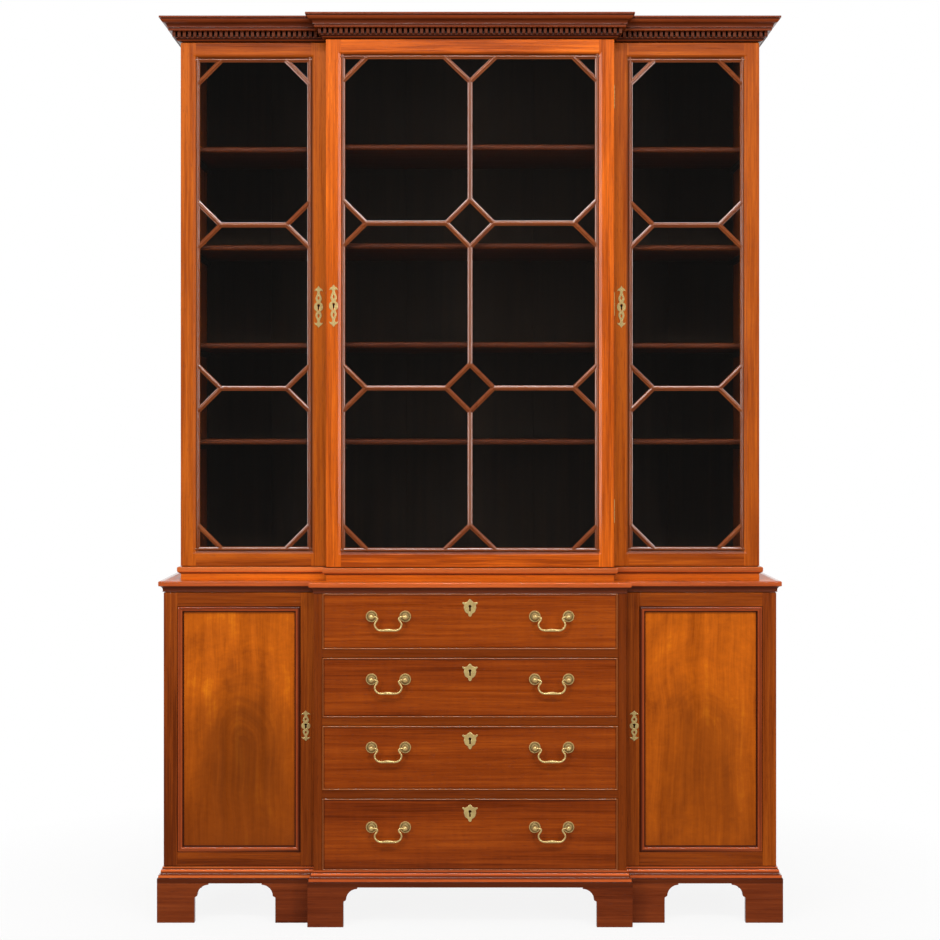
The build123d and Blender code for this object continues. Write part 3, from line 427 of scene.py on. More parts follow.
def from_node(node, name):
    """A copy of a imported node, with the loose triangles of each board merged and its flats made whole."""
    piece = copied(frame["nodes"][node], name)
    numbers = solid_numbers(piece.data)
    piece.data.attributes.new("solid", "INT", "FACE").data.foreach_set("value", numbers)
    edit(piece)
    for number in sorted(set(numbers)):
        bpy.ops.mesh.select_all(action="DESELECT")
        mesh = bmesh.from_edit_mesh(piece.data)
        layer = mesh.faces.layers.int["solid"]
        for face in mesh.faces:
            if face[layer] == number:
                face.select_set(True)
        bmesh.update_edit_mesh(piece.data)
        bpy.ops.mesh.remove_doubles(threshold=SAME_PLACE)
    bpy.ops.mesh.select_all(action="SELECT")
    bpy.ops.mesh.dissolve_limited(angle_limit=math.radians(0.5))
    bpy.ops.mesh.normals_make_consistent(inside=False)
    close()
    bpy.ops.mesh.customdata_custom_splitnormals_clear()
    bpy.ops.object.shade_flat()
    piece.data.attributes.remove(piece.data.attributes["solid"])
    return piece


# Grain and tone of each board

GRAIN_START = (7.3, 3.1, 5.7)  # how much a board's place, on each axis, shifts its grain
GRAIN_SHARE = (1.0, 0.37, 0.61)  # of that shift, along the board and on its two other ways
TONE_SPREAD = 0.03  # how far boards of one finish differ
CENTRE_BOTTOM_TONE, WING_BOTTOM_TONE, TOP_RAIL_TONE = -0.07, 0.05, -0.02  # glazed doors' rails, as painted light and shade: darker top rails and centre bottom rail, lighter wing bottom rails
INNER_STILE_REACH, INNER_STILE_TONE = 0.55, 0.06  # the wing doors' stiles next to the middle lie within it; they get painted light against the middle's shadow
UPRIGHT_BEAD_TONE = -0.08  # the sides of a cupboard door's panel moulding, darker as painted shade
LIGHT_RAILS = (0.9, 1.0)  # rails whose foot lies between these heights get painted light, in metres
# how much the painted light brightens those rails
LIGHT_RAIL_GAIN = (1.75, 1.85, 1.9)
TOP_RAIL_LEVEL = 1.0  # a glazed door's rail above it is the top one, in metres
TONE_WAVES = (41.0, 67.0, 23.0)  # how fast tones change across, upwards and with a board's length
SLOPE_START, SLOPE_END = 0.0015, 0.0045  # behind the face of a glazed door's frame: the stretch of its slopes that is painted in shadow


def is_inner_stile(name, low, spread):
    """Whether a board is a wing door's stile next to the middle of the bookcase."""
    wing_door = "upper_door_frame" in name and not name.startswith("centre")
    return wing_door and abs(low[0] + spread[0] / 2) < INNER_STILE_REACH


def board_tone(name, low, spread, along):
    """How much lighter or darker than its finish a board is: painted light and shade by what it is and where it
    lies, and a random spread for the rest.
    """
    if name.endswith("panel_bead") and along == 2:
        return UPRIGHT_BEAD_TONE
    if is_inner_stile(name, low, spread):
        return INNER_STILE_TONE
    if "upper_door_frame" in name and along == 0:
        if low[2] > TOP_RAIL_LEVEL:
            return TOP_RAIL_TONE
        return CENTRE_BOTTOM_TONE if name.startswith("centre") else WING_BOTTOM_TONE
    across, up, length = TONE_WAVES
    return TONE_SPREAD * math.sin(across * low[0] + up * low[2] + length * spread[along])


def lay_grain(piece):
    """Write what the woods read: each board's own coordinates, with x along its longest side, and tone, which
    is painted light and shade on some boards; painted light on chosen rails; painted shadow on the slopes of
    glazed doors' frames.
    """
    mesh, name = piece.data, piece.name
    count = len(mesh.vertices)
    boards = {}
    for index, number in enumerate(linked(count, [tuple(line.vertices) for line in mesh.edges])):
        boards.setdefault(number, []).append(index)
    grain, tones, lights, shades = [0.0] * (3 * count), [0.0] * count, [0.0] * count, [0.0] * count
    for members in boards.values():
        corners = [mesh.vertices[index].co for index in members]
        low = [min(corner[axis] for corner in corners) for axis in range(3)]
        spread = [max(corner[axis] for corner in corners) - low[axis] for axis in range(3)]
        order = sorted(range(3), key=lambda axis: -spread[axis])
        shift = sum(weight * value for weight, value in zip(GRAIN_START, low))
        tone = board_tone(name, low, spread, order[0])
        light = float(name.startswith("case_rails") and LIGHT_RAILS[0] < low[2] < LIGHT_RAILS[1])
        sloped = "upper_door_frame" in name and order[0] == 0 or is_inner_stile(name, low, spread)
        for index, corner in zip(members, corners):
            tones[index], lights[index] = tone, light
            shades[index] = float(sloped and SLOPE_START < corner.y - low[1] < SLOPE_END)
            for place, axis in enumerate(order):
                grain[3 * index + place] = corner[axis] - low[axis] + shift * GRAIN_SHARE[place]
    mesh.attributes.new("grain", "FLOAT_VECTOR", "POINT").data.foreach_set("vector", grain)
    for mark, values in (("tone", tones), ("light", lights)):
        mesh.attributes.new(mark, "FLOAT", "POINT").data.foreach_set("value", values)
    # painted shadow on those slopes, unless the piece already carries its own painted shade
    if not mesh.attributes.get("painted_shade"):
        paint_shade(piece, shades)


# Finishes

def add_node(tree, kind, inputs=None, **settings):
    """Add a shader node with its settings, and set or link its inputs."""
    node = tree.nodes.new("ShaderNode" + kind)
    for key, value in settings.items():
        setattr(node, key, value)
    for key, value in (inputs or {}).items():
        if isinstance(value, bpy.types.NodeSocket):
            tree.links.new(value, node.inputs[key])
        else:
            node.inputs[key].default_value = value
    return node


class Finish:
    """A material that is built node by node."""

    def __init__(self, name):
        self.material = bpy.data.materials.new(name)
        self.material.use_nodes = True
        self.tree = self.material.node_tree
        self.tree.nodes.clear()

    def add(self, kind, inputs=None, **settings):
        """Add a node to the material."""
        return add_node(self.tree, kind, inputs, **settings)

    def place(self):
        """The object's own coordinates."""
        return self.add("TexCoord").outputs["Object"]

    def mark(self, name):
        """A value that is written on the points of the mesh."""
        return self.add("Attribute", attribute_name=name).outputs["Fac"]

    def maths(self, operation, a, b):
        """Work out a value from two others."""
        return self.add("Math", {0: a, 1: b}, operation=operation).outputs[0]

    def vectors(self, operation, a, b):
        """Work out a vector from two others."""
        return self.add("VectorMath", {0: a, 1: b}, operation=operation).outputs[0]

    def length(self, vector):
        """How long a vector is."""
        return self.add("VectorMath", {0: vector}, operation="LENGTH").outputs["Value"]

    def noise(self, place, scale, detail, roughness, distortion=0.0):
        """A noise over stretched coordinates: a scale for each axis, per metre."""
        stretched = self.add("Mapping", {"Vector": place, "Scale": scale}).outputs[0]
        return self.add("TexNoise", {
            "Vector": stretched, "Scale": 1.0, "Detail": detail, "Roughness": roughness,
            "Distortion": distortion}).outputs["Fac"]

    def sum(self, *terms):
        """Add values that are each given a weight."""
        total = None
        for value, weight in terms:
            term = self.maths("MULTIPLY", value, weight)
            total = term if total is None else self.maths("ADD", total, term)
        return total

    def span(self, value, low, high, start=0.0, end=1.0):
        """Map a stretch of values to another, without going past its ends."""
        return self.add("MapRange", {
            "Value": value, "From Min": low, "From Max": high, "To Min": start, "To Max": end}).outputs[0]

    def ramp(self, value, stops):
        """Colours along a value."""
        node = self.add("ValToRGB", {"Fac": value})
        elements = node.color_ramp.elements
        while len(elements) < len(stops):
            elements.new(1.0)
        for element, (position, colour) in zip(elements, stops):
            element.position = position
            element.color = (*colour, 1.0)
        return node.outputs["Color"]

    def mix(self, factor, a, b):
        """Mix two colours."""
        a, b = (value if isinstance(value, bpy.types.NodeSocket) else (*value, 1.0) for value in (a, b))
        return self.add("Mix", {0: factor, 6: a, 7: b}, data_type="RGBA").outputs[2]

    def bump(self, height, distance):
        """A relief of a given depth in metres."""
        return self.add("Bump", {"Height": height, "Distance": distance}).outputs[0]

    def done(self, shader):
        """Link the last shader and hand over the material."""
        self.tree.links.new(shader, self.add("OutputMaterial").inputs["Surface"])
        return self.material

    def polished(self, wood, roughness, relief, coat, gloss):
        """Finish a wood with French polish."""
        return self.done(self.add("BsdfPrincipled", {
            "Base Color": wood, "Roughness": roughness, "Normal": relief, "Coat Weight": coat,
            "Coat Roughness": 0.07, "Coat IOR": gloss, "Specular IOR Level": 0.15}).outputs[0])


def toned(colour, factor, warmth=1.0):
    """A darker or lighter tone of a colour, with its blue held back or let through."""
    r, g, b = colour
    return min(r * factor, 1.0), min(g * factor * warmth, 1.0), min(b * factor * warmth, 1.0)


def board_grain(finish):
    """The boards' own coordinates, with x along the grain."""
    return finish.add("Attribute", attribute_name="grain").outputs["Vector"]


def polished_wood(name, colour, contrast=1.0, rough=0.3, coat=0.6, mottle=0.0, gloss=1.45):
    """French polished mahogany: broad tones, streaks, fine lines and short dark pores, with painted light and
    painted shade where the mesh marks them.
    """
    finish = Finish(name)
    place = board_grain(finish)
    broad = finish.noise(place, (0.8, 9, 9), 3, 0.5, 0.5)
    streaks = finish.noise(place, (2.6, 95, 95), 4, 0.62, 0.25)
    lines = finish.noise(place, (7, 420, 420), 3, 0.6)
    tone = finish.sum((broad, 0.42), (streaks, 0.36), (lines, 0.22))
    tone = finish.maths("ADD", tone, finish.mark("tone"))
    if mottle:
        flame = finish.noise(place, (26, 5, 5), 3, 0.55, 1.4)
        tone = finish.sum((tone, 1.0 - mottle), (flame, mottle))
    spread = 0.16 / contrast
    wood = finish.ramp(tone, [
        (0.5 - spread, toned(colour, 0.50, 0.86)), (0.5 - spread * 0.3, toned(colour, 0.84, 0.95)),
        (0.5 + spread * 0.2, colour), (0.5 + spread, toned(colour, 1.38, 1.12))])
    pores = finish.span(finish.noise(place, (42, 950, 950), 1, 0.5), 0.60, 0.74)
    wood = finish.mix(finish.maths("MULTIPLY", pores, 0.45), wood, toned(colour, 0.25, 0.7))
    # painted light: the marked rails are drawn brighter
    wood = finish.mix(finish.mark("light"), wood, finish.vectors("MULTIPLY", wood, LIGHT_RAIL_GAIN))
    # painted shade: darkened towards near black where the mesh marks it
    painted_shade = finish.maths("MULTIPLY", finish.mark("painted_shade"), 0.88)
    wood = finish.mix(painted_shade, wood, toned(colour, 0.07, 0.7))
    relief = finish.bump(finish.sum((lines, 0.5), (pores, -0.6), (streaks, 0.3)), 0.00022)
    dulled = finish.span(streaks, 0.3, 0.7, rough - 0.05, rough + 0.08)
    return finish.polished(wood, dulled, relief, coat, gloss)


PLUME_ASIDE, PLUME_DROP = 14.0, 25.0  # from the middle of a panel to the foot of its plume, in millimetres
LEAF_SHIFT = 9.0  # metres through the noise for a shade of one, so that the two doors' figures differ


def panel_veneer(name, colour, middle, depth):
    """Crotch veneer of a cupboard door: soft upright streaks over a dark plume, darker towards the foot."""
    finish = Finish(name)
    across, front, height = middle
    plume_foot = (-(across + PLUME_ASIDE) * MM, LEAF_SHIFT * depth - front * MM, (PLUME_DROP - height) * MM)
    place = finish.add("Mapping", {"Vector": finish.place(), "Location": plume_foot}).outputs[0]
    wander = finish.add("TexNoise", {"Vector": place, "Scale": 4.0, "Detail": 2.0}).outputs["Color"]
    wander = finish.vectors("SUBTRACT", wander, (0.5, 0.5, 0.5))
    place = finish.vectors("ADD", place, finish.vectors("MULTIPLY", wander, (0.035, 0.0, 0.12)))
    streaks = finish.noise(place, (34, 1, 1.7), 4, 0.6, 0.3)
    fine = finish.noise(place, (230, 1, 13), 3, 0.6)
    ripple = finish.noise(place, (55, 1, 85), 3, 0.6)
    broad = finish.noise(place, (7, 1, 4.2), 3, 0.5, 0.8)
    x, _, z = finish.add("SeparateXYZ", {0: place}).outputs
    arch = finish.add("CombineXYZ", {0: x, 1: 0.0, 2: finish.maths("MAXIMUM", z, 0.0)}).outputs[0]
    reach = finish.length(finish.add("Mapping", {"Vector": arch, "Scale": (7.0, 0.0, 5.2)}).outputs[0])
    lobes = finish.add("CombineXYZ", {0: reach, 1: finish.sum((z, 0.8)), 2: 0.0}).outputs[0]
    rings = finish.noise(lobes, (6, 1, 1), 3, 0.55)
    plume = finish.span(finish.sum((reach, 1.0), (broad, 0.9)), 1.45, 0.75)
    plume = finish.maths("MULTIPLY", plume, finish.span(z, -0.26, -0.10, 0.25, 1.0))
    plume = finish.maths("MULTIPLY", plume, finish.span(rings, 0.36, 0.64, depth, 0.7 * depth))
    tone = finish.sum((streaks, 0.33), (fine, 0.13), (ripple, 0.12), (broad, 0.32), (rings, 0.1))
    wood = finish.ramp(tone, [
        (0.34, toned(colour, 0.5, 0.85)), (0.46, toned(colour, 0.92, 0.97)), (0.54, toned(colour, 1.2)),
        (0.66, toned(colour, 1.75, 1.3))])
    foot = finish.sum((finish.span(z, 0.12, -0.30), 0.8), (broad, 0.3))
    wood = finish.mix(finish.maths("MULTIPLY", foot, depth), wood, toned(colour, 0.30, 0.8))
    wood = finish.mix(plume, wood, toned(colour, 0.22, 0.85))
    relief = finish.bump(fine, 0.00012)
    return finish.polished(wood, finish.span(streaks, 0.3, 0.7, 0.26, 0.36), relief, 0.6, 1.45)


def plain_wood(name, colour, rough=0.6):
    """Unpolished softwood under a stain: wide soft bands, fine lines and a few darker knots."""
    finish = Finish(name)
    place = board_grain(finish)
    bands = finish.noise(place, (1.2, 38, 38), 3, 0.5, 0.8)
    lines = finish.noise(place, (8, 380, 380), 3, 0.65)
    wear = finish.noise(place, (6, 8, 8), 4, 0.6)
    tone = finish.sum((bands, 0.5), (lines, 0.3), (wear, 0.2))
    wood = finish.ramp(tone, [
        (0.32, toned(colour, 0.55, 0.9)), (0.5, colour), (0.66, toned(colour, 1.5))])
    relief = finish.bump(finish.sum((lines, 0.7), (bands, 0.3)), 0.0002)
    return finish.done(finish.add("BsdfPrincipled", {
        "Base Color": wood, "Roughness": finish.span(wear, 0.3, 0.7, rough - 0.08, rough + 0.12),
        "Normal": relief, "Specular IOR Level": 0.2}).outputs[0])


def lacquered_brass(name, colour):
    """Old lacquered brass: a warm metal with a darker, duller patina in patches and fine scratches, and painted
    shade where the mesh marks it.
    """
    finish = Finish(name)
    place = finish.place()
    patina = finish.noise(place, (70, 70, 70), 4, 0.6)
    spots = finish.noise(place, (420, 420, 420), 2, 0.5)
    scratches = finish.noise(place, (260, 260, 2600), 2, 0.5)
    worn = finish.span(finish.sum((patina, 0.7), (spots, 0.3)), 0.42, 0.66)
    metal = finish.mix(worn, colour, toned(colour, 0.7, 0.9))
    # painted shade: dark on the back half of a plate's sides and in a post's neck and hollow ring
    metal = finish.mix(finish.mark("painted_shade"), metal, toned(colour, 0.12, 0.7))
    relief = finish.bump(finish.sum((scratches, 0.5), (patina, 0.5)), 0.00012)
    return finish.done(finish.add("BsdfPrincipled", {
        "Base Color": metal, "Metallic": 0.5, "Roughness": finish.span(worn, 0, 1, 0.2, 0.34),
        "Normal": relief}).outputs[0])


GLASS_TINT = (0.90, 0.92, 0.90, 1.0)


def old_glass(name):
    """Thin old window glass that lets the lamps through."""
    finish = Finish(name)
    ripple = finish.noise(finish.place(), (9, 9, 5), 2, 0.4)
    glass = finish.add("BsdfPrincipled", {
        "Base Color": GLASS_TINT, "Roughness": 0.0, "IOR": 1.45, "Transmission Weight": 1.0,
        "Specular IOR Level": 0.2, "Normal": finish.bump(ripple, 0.0002)}).outputs[0]
    clear = finish.add("BsdfTransparent", {"Color": GLASS_TINT}).outputs[0]
    lamps = finish.add("LightPath").outputs["Is Shadow Ray"]
    return finish.done(finish.add("MixShader", {0: lamps, 1: glass, 2: clear}).outputs[0])


POLISHED = {  # the material's name, its colour's name, how light and warm it is, and its figure and polish
    "frame": ("Mahogany wing door frames", "mahogany", 0.86, 0.92, {"contrast": 1.8, "coat": 0.35}),
    "centre_frame": ("Mahogany centre door frame", "mahogany", 1.4, 0.9, {"contrast": 1.8, "coat": 0.3}),
    "base_frame": ("Mahogany cupboard door frames", "mahogany", 0.62, 0.88, {"contrast": 1.7, "coat": 0.4}),
    "case": ("Mahogany case sides", "mahogany", 0.48, 0.85, {"coat": 0.4}),
    "rails": ("Mahogany rails", "mahogany", 0.8, 0.95, {"coat": 0.4}),
    "top": ("Mahogany top", "mahogany", 1.7, 0.95, {"contrast": 1.1, "coat": 0.2, "rough": 0.42}),
    # painted shade: the shelves are drawn near black for the shaded interior
    "shelf": ("Mahogany shelves", "mahogany", 0.15, 0.8, {"contrast": 0.7, "coat": 0.1, "rough": 0.4}),
    "drawer": ("Mahogany drawer veneer", "drawer", 1.0, 1.0, {"contrast": 1.5, "coat": 0.4, "mottle": 0.06}),
    # painted highlight: the panel mouldings, cock beads and nosings are made lighter than their colour
    "moulding": ("Mahogany mouldings", "moulding", 1.9, 1.0, {"contrast": 0.8, "coat": 0.8, "gloss": 1.5}),
    "cock_bead": ("Mahogany cock beads", "moulding", 1.7, 1.5, {"contrast": 0.6, "coat": 1.0, "gloss": 1.8}),
    "nosing": ("Mahogany nosings", "moulding", 2.9, 1.1, {"coat": 0.8, "gloss": 1.5}),
    "waist": ("Mahogany waist moulding", "moulding", 2.3, 1.25, {}),
    "cornice": ("Mahogany cornice", "moulding", 0.95, 1.0, {"contrast": 1.2, "coat": 0.2}),
    "dentils": ("Mahogany dentils", "moulding", 0.5, 1.1, {"contrast": 0.8, "coat": 0.15}),
    "bars": ("Mahogany glazing bars", "moulding", 0.95, 1.3, {"contrast": 0.7, "coat": 1.0, "gloss": 1.6}),
    "feet": ("Mahogany feet", "moulding", 0.85, 0.98, {"contrast": 1.3, "coat": 0.15}),
    # painted shade: the plinth strip is darker, for the shadow of the moulding above; painted highlight: the
    # base moulding is made much lighter
    "plinth": ("Mahogany plinth strip", "moulding", 0.5, 0.98, {"contrast": 1.1, "coat": 0.15}),
    "base_moulding": (
        "Mahogany base moulding", "moulding", 3.5, 1.05, {"contrast": 0.9, "coat": 0.7, "gloss": 1.5}),
}
FINISHES = {}


def make_finishes():
    """All the finishes, by the names that the pieces ask for."""
    colours = bpy.context.scene.bookcase_colours
    for finish, (name, colour, light, warmth, polish) in POLISHED.items():
        FINISHES[finish] = polished_wood(name, toned(getattr(colours, colour), light, warmth), **polish)
    FINISHES["pine"] = plain_wood("Stained pine boards", tuple(colours.pine))
    # painted shade: the back's inside, its tongues and the shelf bearers are drawn near black for the shaded
    # interior
    FINISHES["lining"] = plain_wood("Lining painted in shade", toned(colours.pine, 0.09), rough=0.85)
    FINISHES["brass"] = lacquered_brass("Lacquered brass", tuple(colours.brass))
    FINISHES["glass"] = old_glass("Old window glass")


def dressed(piece, finish, body, slot, *nodes):
    """Give a piece its finish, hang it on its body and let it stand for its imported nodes."""
    piece.data.materials.clear()
    piece.data.materials.append(FINISHES[finish])
    for face in piece.data.polygons:
        face.material_index = 0
    if finish not in ("brass", "glass"):
        lay_grain(piece)
    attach(piece, body)
    if nodes:
        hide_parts(*nodes)
    return piece


def keep_node(node, finish):
    """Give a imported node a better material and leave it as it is."""
    materials = frame["nodes"][node].data.materials
    materials.clear()
    materials.append(FINISHES[finish])


def planed(node, finish, body, slot, width=None, segments=2):
    """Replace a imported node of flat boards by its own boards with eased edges."""
    piece = from_node(node, node + "_eased")
    width = bpy.context.scene.bookcase_sizes.arris if width is None else width
    return dressed(eased(piece, width, segments), finish, body, slot, node)


# Cases

def case_walk(half, centre_half, wing_front, centre_front):
    """The walk round a breakfront plan, from the back of the left side to the right."""
    left = [(-half, BACK), (-half, wing_front), (-centre_half, wing_front), (-centre_half, centre_front)]
    return left + [(-x, y) for x, y in reversed(left)]


BASE_WALK = case_walk(BASE_HALF, BASE_CENTRE_HALF, BASE_WING_FRONT, BASE_CENTRE_FRONT)
UPPER_WALK = case_walk(UPPER_HALF, UPPER_CENTRE_HALF, UPPER_WING_FRONT, UPPER_CENTRE_FRONT)
QUARTER = (math.sqrt(2) - 1) / 2
BASE_SIDE, UPPER_SIDE = 22.0, 20.0  # how thick the sides and partitions of the two cases are
TONGUE_HALF, TONGUE_FRONT, TONGUE_BACK = 5.0, 6.5, 3.5
TONGUE_ARRIS, SHELF_ARRIS, FOOT_ARRIS, TOP_ARRIS = 0.0003, 0.002, 0.0009, 0.0002  # in metres


def tongues(name, low, high, half, centre_half, side, node):
    """The tongues that close the joints between the back boards in the three bays of a case."""
    strips = []
    for x0, x1, boards in (
            (side - half, -centre_half, 2), (side - centre_half, centre_half - side, 4),
            (centre_half, half - side, 2)):
        for i in range(boards + 1):
            x = x0 + (x1 - x0) * i / boards
            strips.append(board(max(x - TONGUE_HALF, x0), min(x + TONGUE_HALF, x1),
                                BACK - TONGUE_FRONT, BACK - TONGUE_BACK, low, high))
    dressed(eased(joined(name, strips), TONGUE_ARRIS, segments=1), "lining", "root", "secondary_wood", node)


def back_finish(name):
    """Give the outside of the back boards the plain pine finish, leaving their inside in the lining's painted
    shade.
    """
    piece = bpy.data.objects[name]
    piece.data.materials.append(FINISHES["pine"])
    for face in piece.data.polygons:
        if face.normal.y > 0.5:
            face.material_index = 1


class BOOKCASE_OT_cases(bpy.types.Operator):
    """Build the boards of both cases with eased edges"""
    bl_idname = "bookcase.cases"
    bl_label = "Cases"

    def execute(self, context):
        for node, finish, slot in (
            ("base_uprights", "case", "carcass_mahogany"),
            ("upper_uprights", "case", "carcass_mahogany"),
            ("case_rails", "rails", "carcass_mahogany"),
            ("base_back_boards", "pine", "secondary_wood"),
            ("upper_back_boards", "lining", "secondary_wood"),
            ("base_floor_boards", "pine", "secondary_wood"),
            ("upper_deck_and_top", "pine", "secondary_wood"),
            ("drawer_dividers", "case", "secondary_wood"),
            ("cupboard_shelves", "pine", "secondary_wood"),
            ("shelf_bearers", "lining", "secondary_wood"),
            ("foot_blocks", "pine", "secondary_wood"),
        ):
            planed(node, finish, "root", slot)
        back_finish("upper_back_boards_eased")
        tongues("base_back_tongues", PLINTH_TOP, BASE_UNDER_TOP, BASE_HALF, BASE_CENTRE_HALF, BASE_SIDE,
                "base_back_boards")
        low, high = (corner.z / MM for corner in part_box("upper_back_boards"))
        tongues("upper_back_tongues", low, high, UPPER_HALF, UPPER_CENTRE_HALF, UPPER_SIDE,
                "upper_back_boards")
        return {"FINISHED"}


class BOOKCASE_OT_shelves(bpy.types.Operator):
    """Build the adjustable shelves with rounded edges"""
    bl_idname = "bookcase.shelves"
    bl_label = "Adjustable shelves"

    def execute(self, context):
        piece = from_node("adjustable_shelves", "adjustable_shelves_eased")
        eased(piece, SHELF_ARRIS, segments=3)
        dressed(piece, "shelf", "root", "carcass_mahogany", "adjustable_shelves")
        return {"FINISHED"}


# Mouldings

# Outlines: outwards from the wall, upwards, and how a curved stretch bows
FOOT_OUTLINE = [(-4, 0), (16, 0), (16, 106), (-4, 106)]
PLINTH_OUTLINE = [(-4, 0), (16, 0), (16, 11.4), (13.4, 14, QUARTER), (-4, 14)]
OGEE_OUTLINE = [
    (0, 0), (11.6, 0), (13, 1.4, QUARTER), (13, 7), (6.5, 14, -QUARTER), (3, 23.5, QUARTER), (3, 28), (0, 28)]
NOSE_OUTLINE = [
    (0, 0), (3, 0), (9, 15, -QUARTER), (10.5, 15), (13, 18.5, QUARTER), (13, 25.5), (9.5, 29, QUARTER),
    (0, 29)]
WAIST_OUTLINE = [
    (0, 0), (3, 0), (3, 1.5), (9, 9, QUARTER), (9, 14), (5.5, 18, QUARTER), (0, 18)]
CORNICE_OUTLINE = [
    (0, 0), (3, 0), (3, 1.2), (11.4, 8, QUARTER), (13, 8), (13, 11), (6, 11), (6, 26), (28.5, 26),
    (30, 27.5, QUARTER), (30, 34), (33, 34), (40.5, 45.5, -QUARTER), (48, 57, QUARTER),
    (52, 57), (52, 61.2), (51.2, 62, QUARTER), (0, 62)]
TOP_THICKNESS = 29.0
PLINTH_DARK, NOSE_DARK = 5.0, 14.5  # how high the plinth strip and the nosing are painted in shadow

FOOT_WIDTHS = {0: (100, 84), 1: (85, 106), 3: (80, 80), 5: (106, 85), 6: (84, 100)}  # by wall
ARCH_SIDE = [(0, -5), (0, 68), (7, 72), (37, 102), (37, 112)]  # in from a foot's edge, and up
ARCH_CUT, HOLE_CUT = 60.0, 6.0  # how deep the shapes are that cut an arch and a hole in a plate


def arch_cutter(start, end, first, last):
    """The opening between two bracket feet of one wall, to cut with."""
    length = (end - start).length
    left = [(first + x, z) for x, z in ARCH_SIDE]
    right = [(length - last - x, z) for x, z in reversed(ARCH_SIDE)]
    left[3] = (*left[3], -QUARTER)
    right[2] = (*right[2], -QUARTER)
    cutter = thickened(drawn(curved(left + right, chords=10)), ARCH_CUT)
    way = (end - start).normalized()
    place = start + Vector((way.y, -way.x)) * ARCH_CUT / 2
    return settle(cutter, (place.x, place.y, 0), (0, 0, math.atan2(way.y, way.x)))


class BOOKCASE_OT_base_mouldings(bpy.types.Operator):
    """Build the feet, the plinth strip and the moulding above it"""
    bl_idname = "bookcase.base_mouldings"
    bl_label = "Feet and base moulding"

    def execute(self, context):
        lengths = mitred_lengths(FOOT_OUTLINE, BASE_WALK)
        corners = [Vector(corner) for corner in BASE_WALK]
        for wall, widths in FOOT_WIDTHS.items():
            cut(lengths[wall], arch_cutter(corners[wall], corners[wall + 1], *widths))
        feet = eased(joined("bracket_feet_cut", lengths), FOOT_ARRIS, segments=2)
        dressed(feet, "feet", "root", "moulding_mahogany", "bracket_feet")
        strip = mitred_run(
            "plinth_strip_lengths", curved(PLINTH_OUTLINE), BASE_WALK, FOOT_TOP, dark_below=PLINTH_DARK)
        dressed(smooth(strip), "plinth", "root", "moulding_mahogany", "plinth_strips")
        ogee = mitred_run("base_moulding_lengths", curved(OGEE_OUTLINE, chords=8), BASE_WALK, PLINTH_TOP)
        dressed(smooth(ogee), "base_moulding", "root", "moulding_mahogany", "base_moulding")
        return {"FINISHED"}


class BOOKCASE_OT_waist(bpy.types.Operator):
    """Build the top of the lower case with its nosing, and the moulding round the upper case's foot"""
    bl_idname = "bookcase.waist"
    bl_label = "Top and waist moulding"

    def execute(self, context):
        nose = mitred_run(
            "base_top_nose", curved(NOSE_OUTLINE, chords=8), BASE_WALK, BASE_UNDER_TOP, dark_below=NOSE_DARK)
        planks = []
        for x0, x1, front in (
                (-BASE_HALF, -BASE_CENTRE_HALF, BASE_WING_FRONT),
                (-BASE_CENTRE_HALF, BASE_CENTRE_HALF, BASE_CENTRE_FRONT),
                (BASE_CENTRE_HALF, BASE_HALF, BASE_WING_FRONT)):
            planks.append(board(x0, x1, front, BACK, BASE_UNDER_TOP, BASE_UNDER_TOP + TOP_THICKNESS))
        top = eased(joined("base_top_boards", planks), TOP_ARRIS, segments=1)
        dressed(top, "top", "root", "carcass_mahogany", "base_top")
        dressed(smooth(nose), "nosing", "root", "carcass_mahogany", "base_top")
        waist = mitred_run("waist_lengths", curved(WAIST_OUTLINE, chords=8), UPPER_WALK, WAIST_LEVEL)
        dressed(smooth(waist), "waist", "root", "moulding_mahogany", "waist_moulding")
        return {"FINISHED"}


TOOTH, TOOTH_GAP, TOOTH_HEIGHT, TOOTH_OUT = 8.3, 6.0, 15.0, 20.0
TOOTH_LEVEL, TOOTH_LET_IN, TOOTH_UNSHADED = 11.0, 0.2, 2.0  # above the cornice's foot; into its strip; the depth of its face kept out of the painted shade
STRIP_BACK, STRIP_FRONT = 6.0, 9.0
SQUARE, TURNED, BUTTED = (0, 0), (-TOOTH_OUT, -TOOTH_OUT), (0, -STRIP_BACK)
INNER_FIRST, INNER_LAST = (26, STRIP_BACK), (26, STRIP_FRONT)
STRIP_ENDS = (  # for each wall, how far in the first and last tooth and the strip's ends lie
    (SQUARE, BUTTED), (TURNED, INNER_FIRST), (INNER_LAST, BUTTED), (TURNED, TURNED), (BUTTED, INNER_LAST),
    (INNER_FIRST, TURNED), (BUTTED, SQUARE),
)


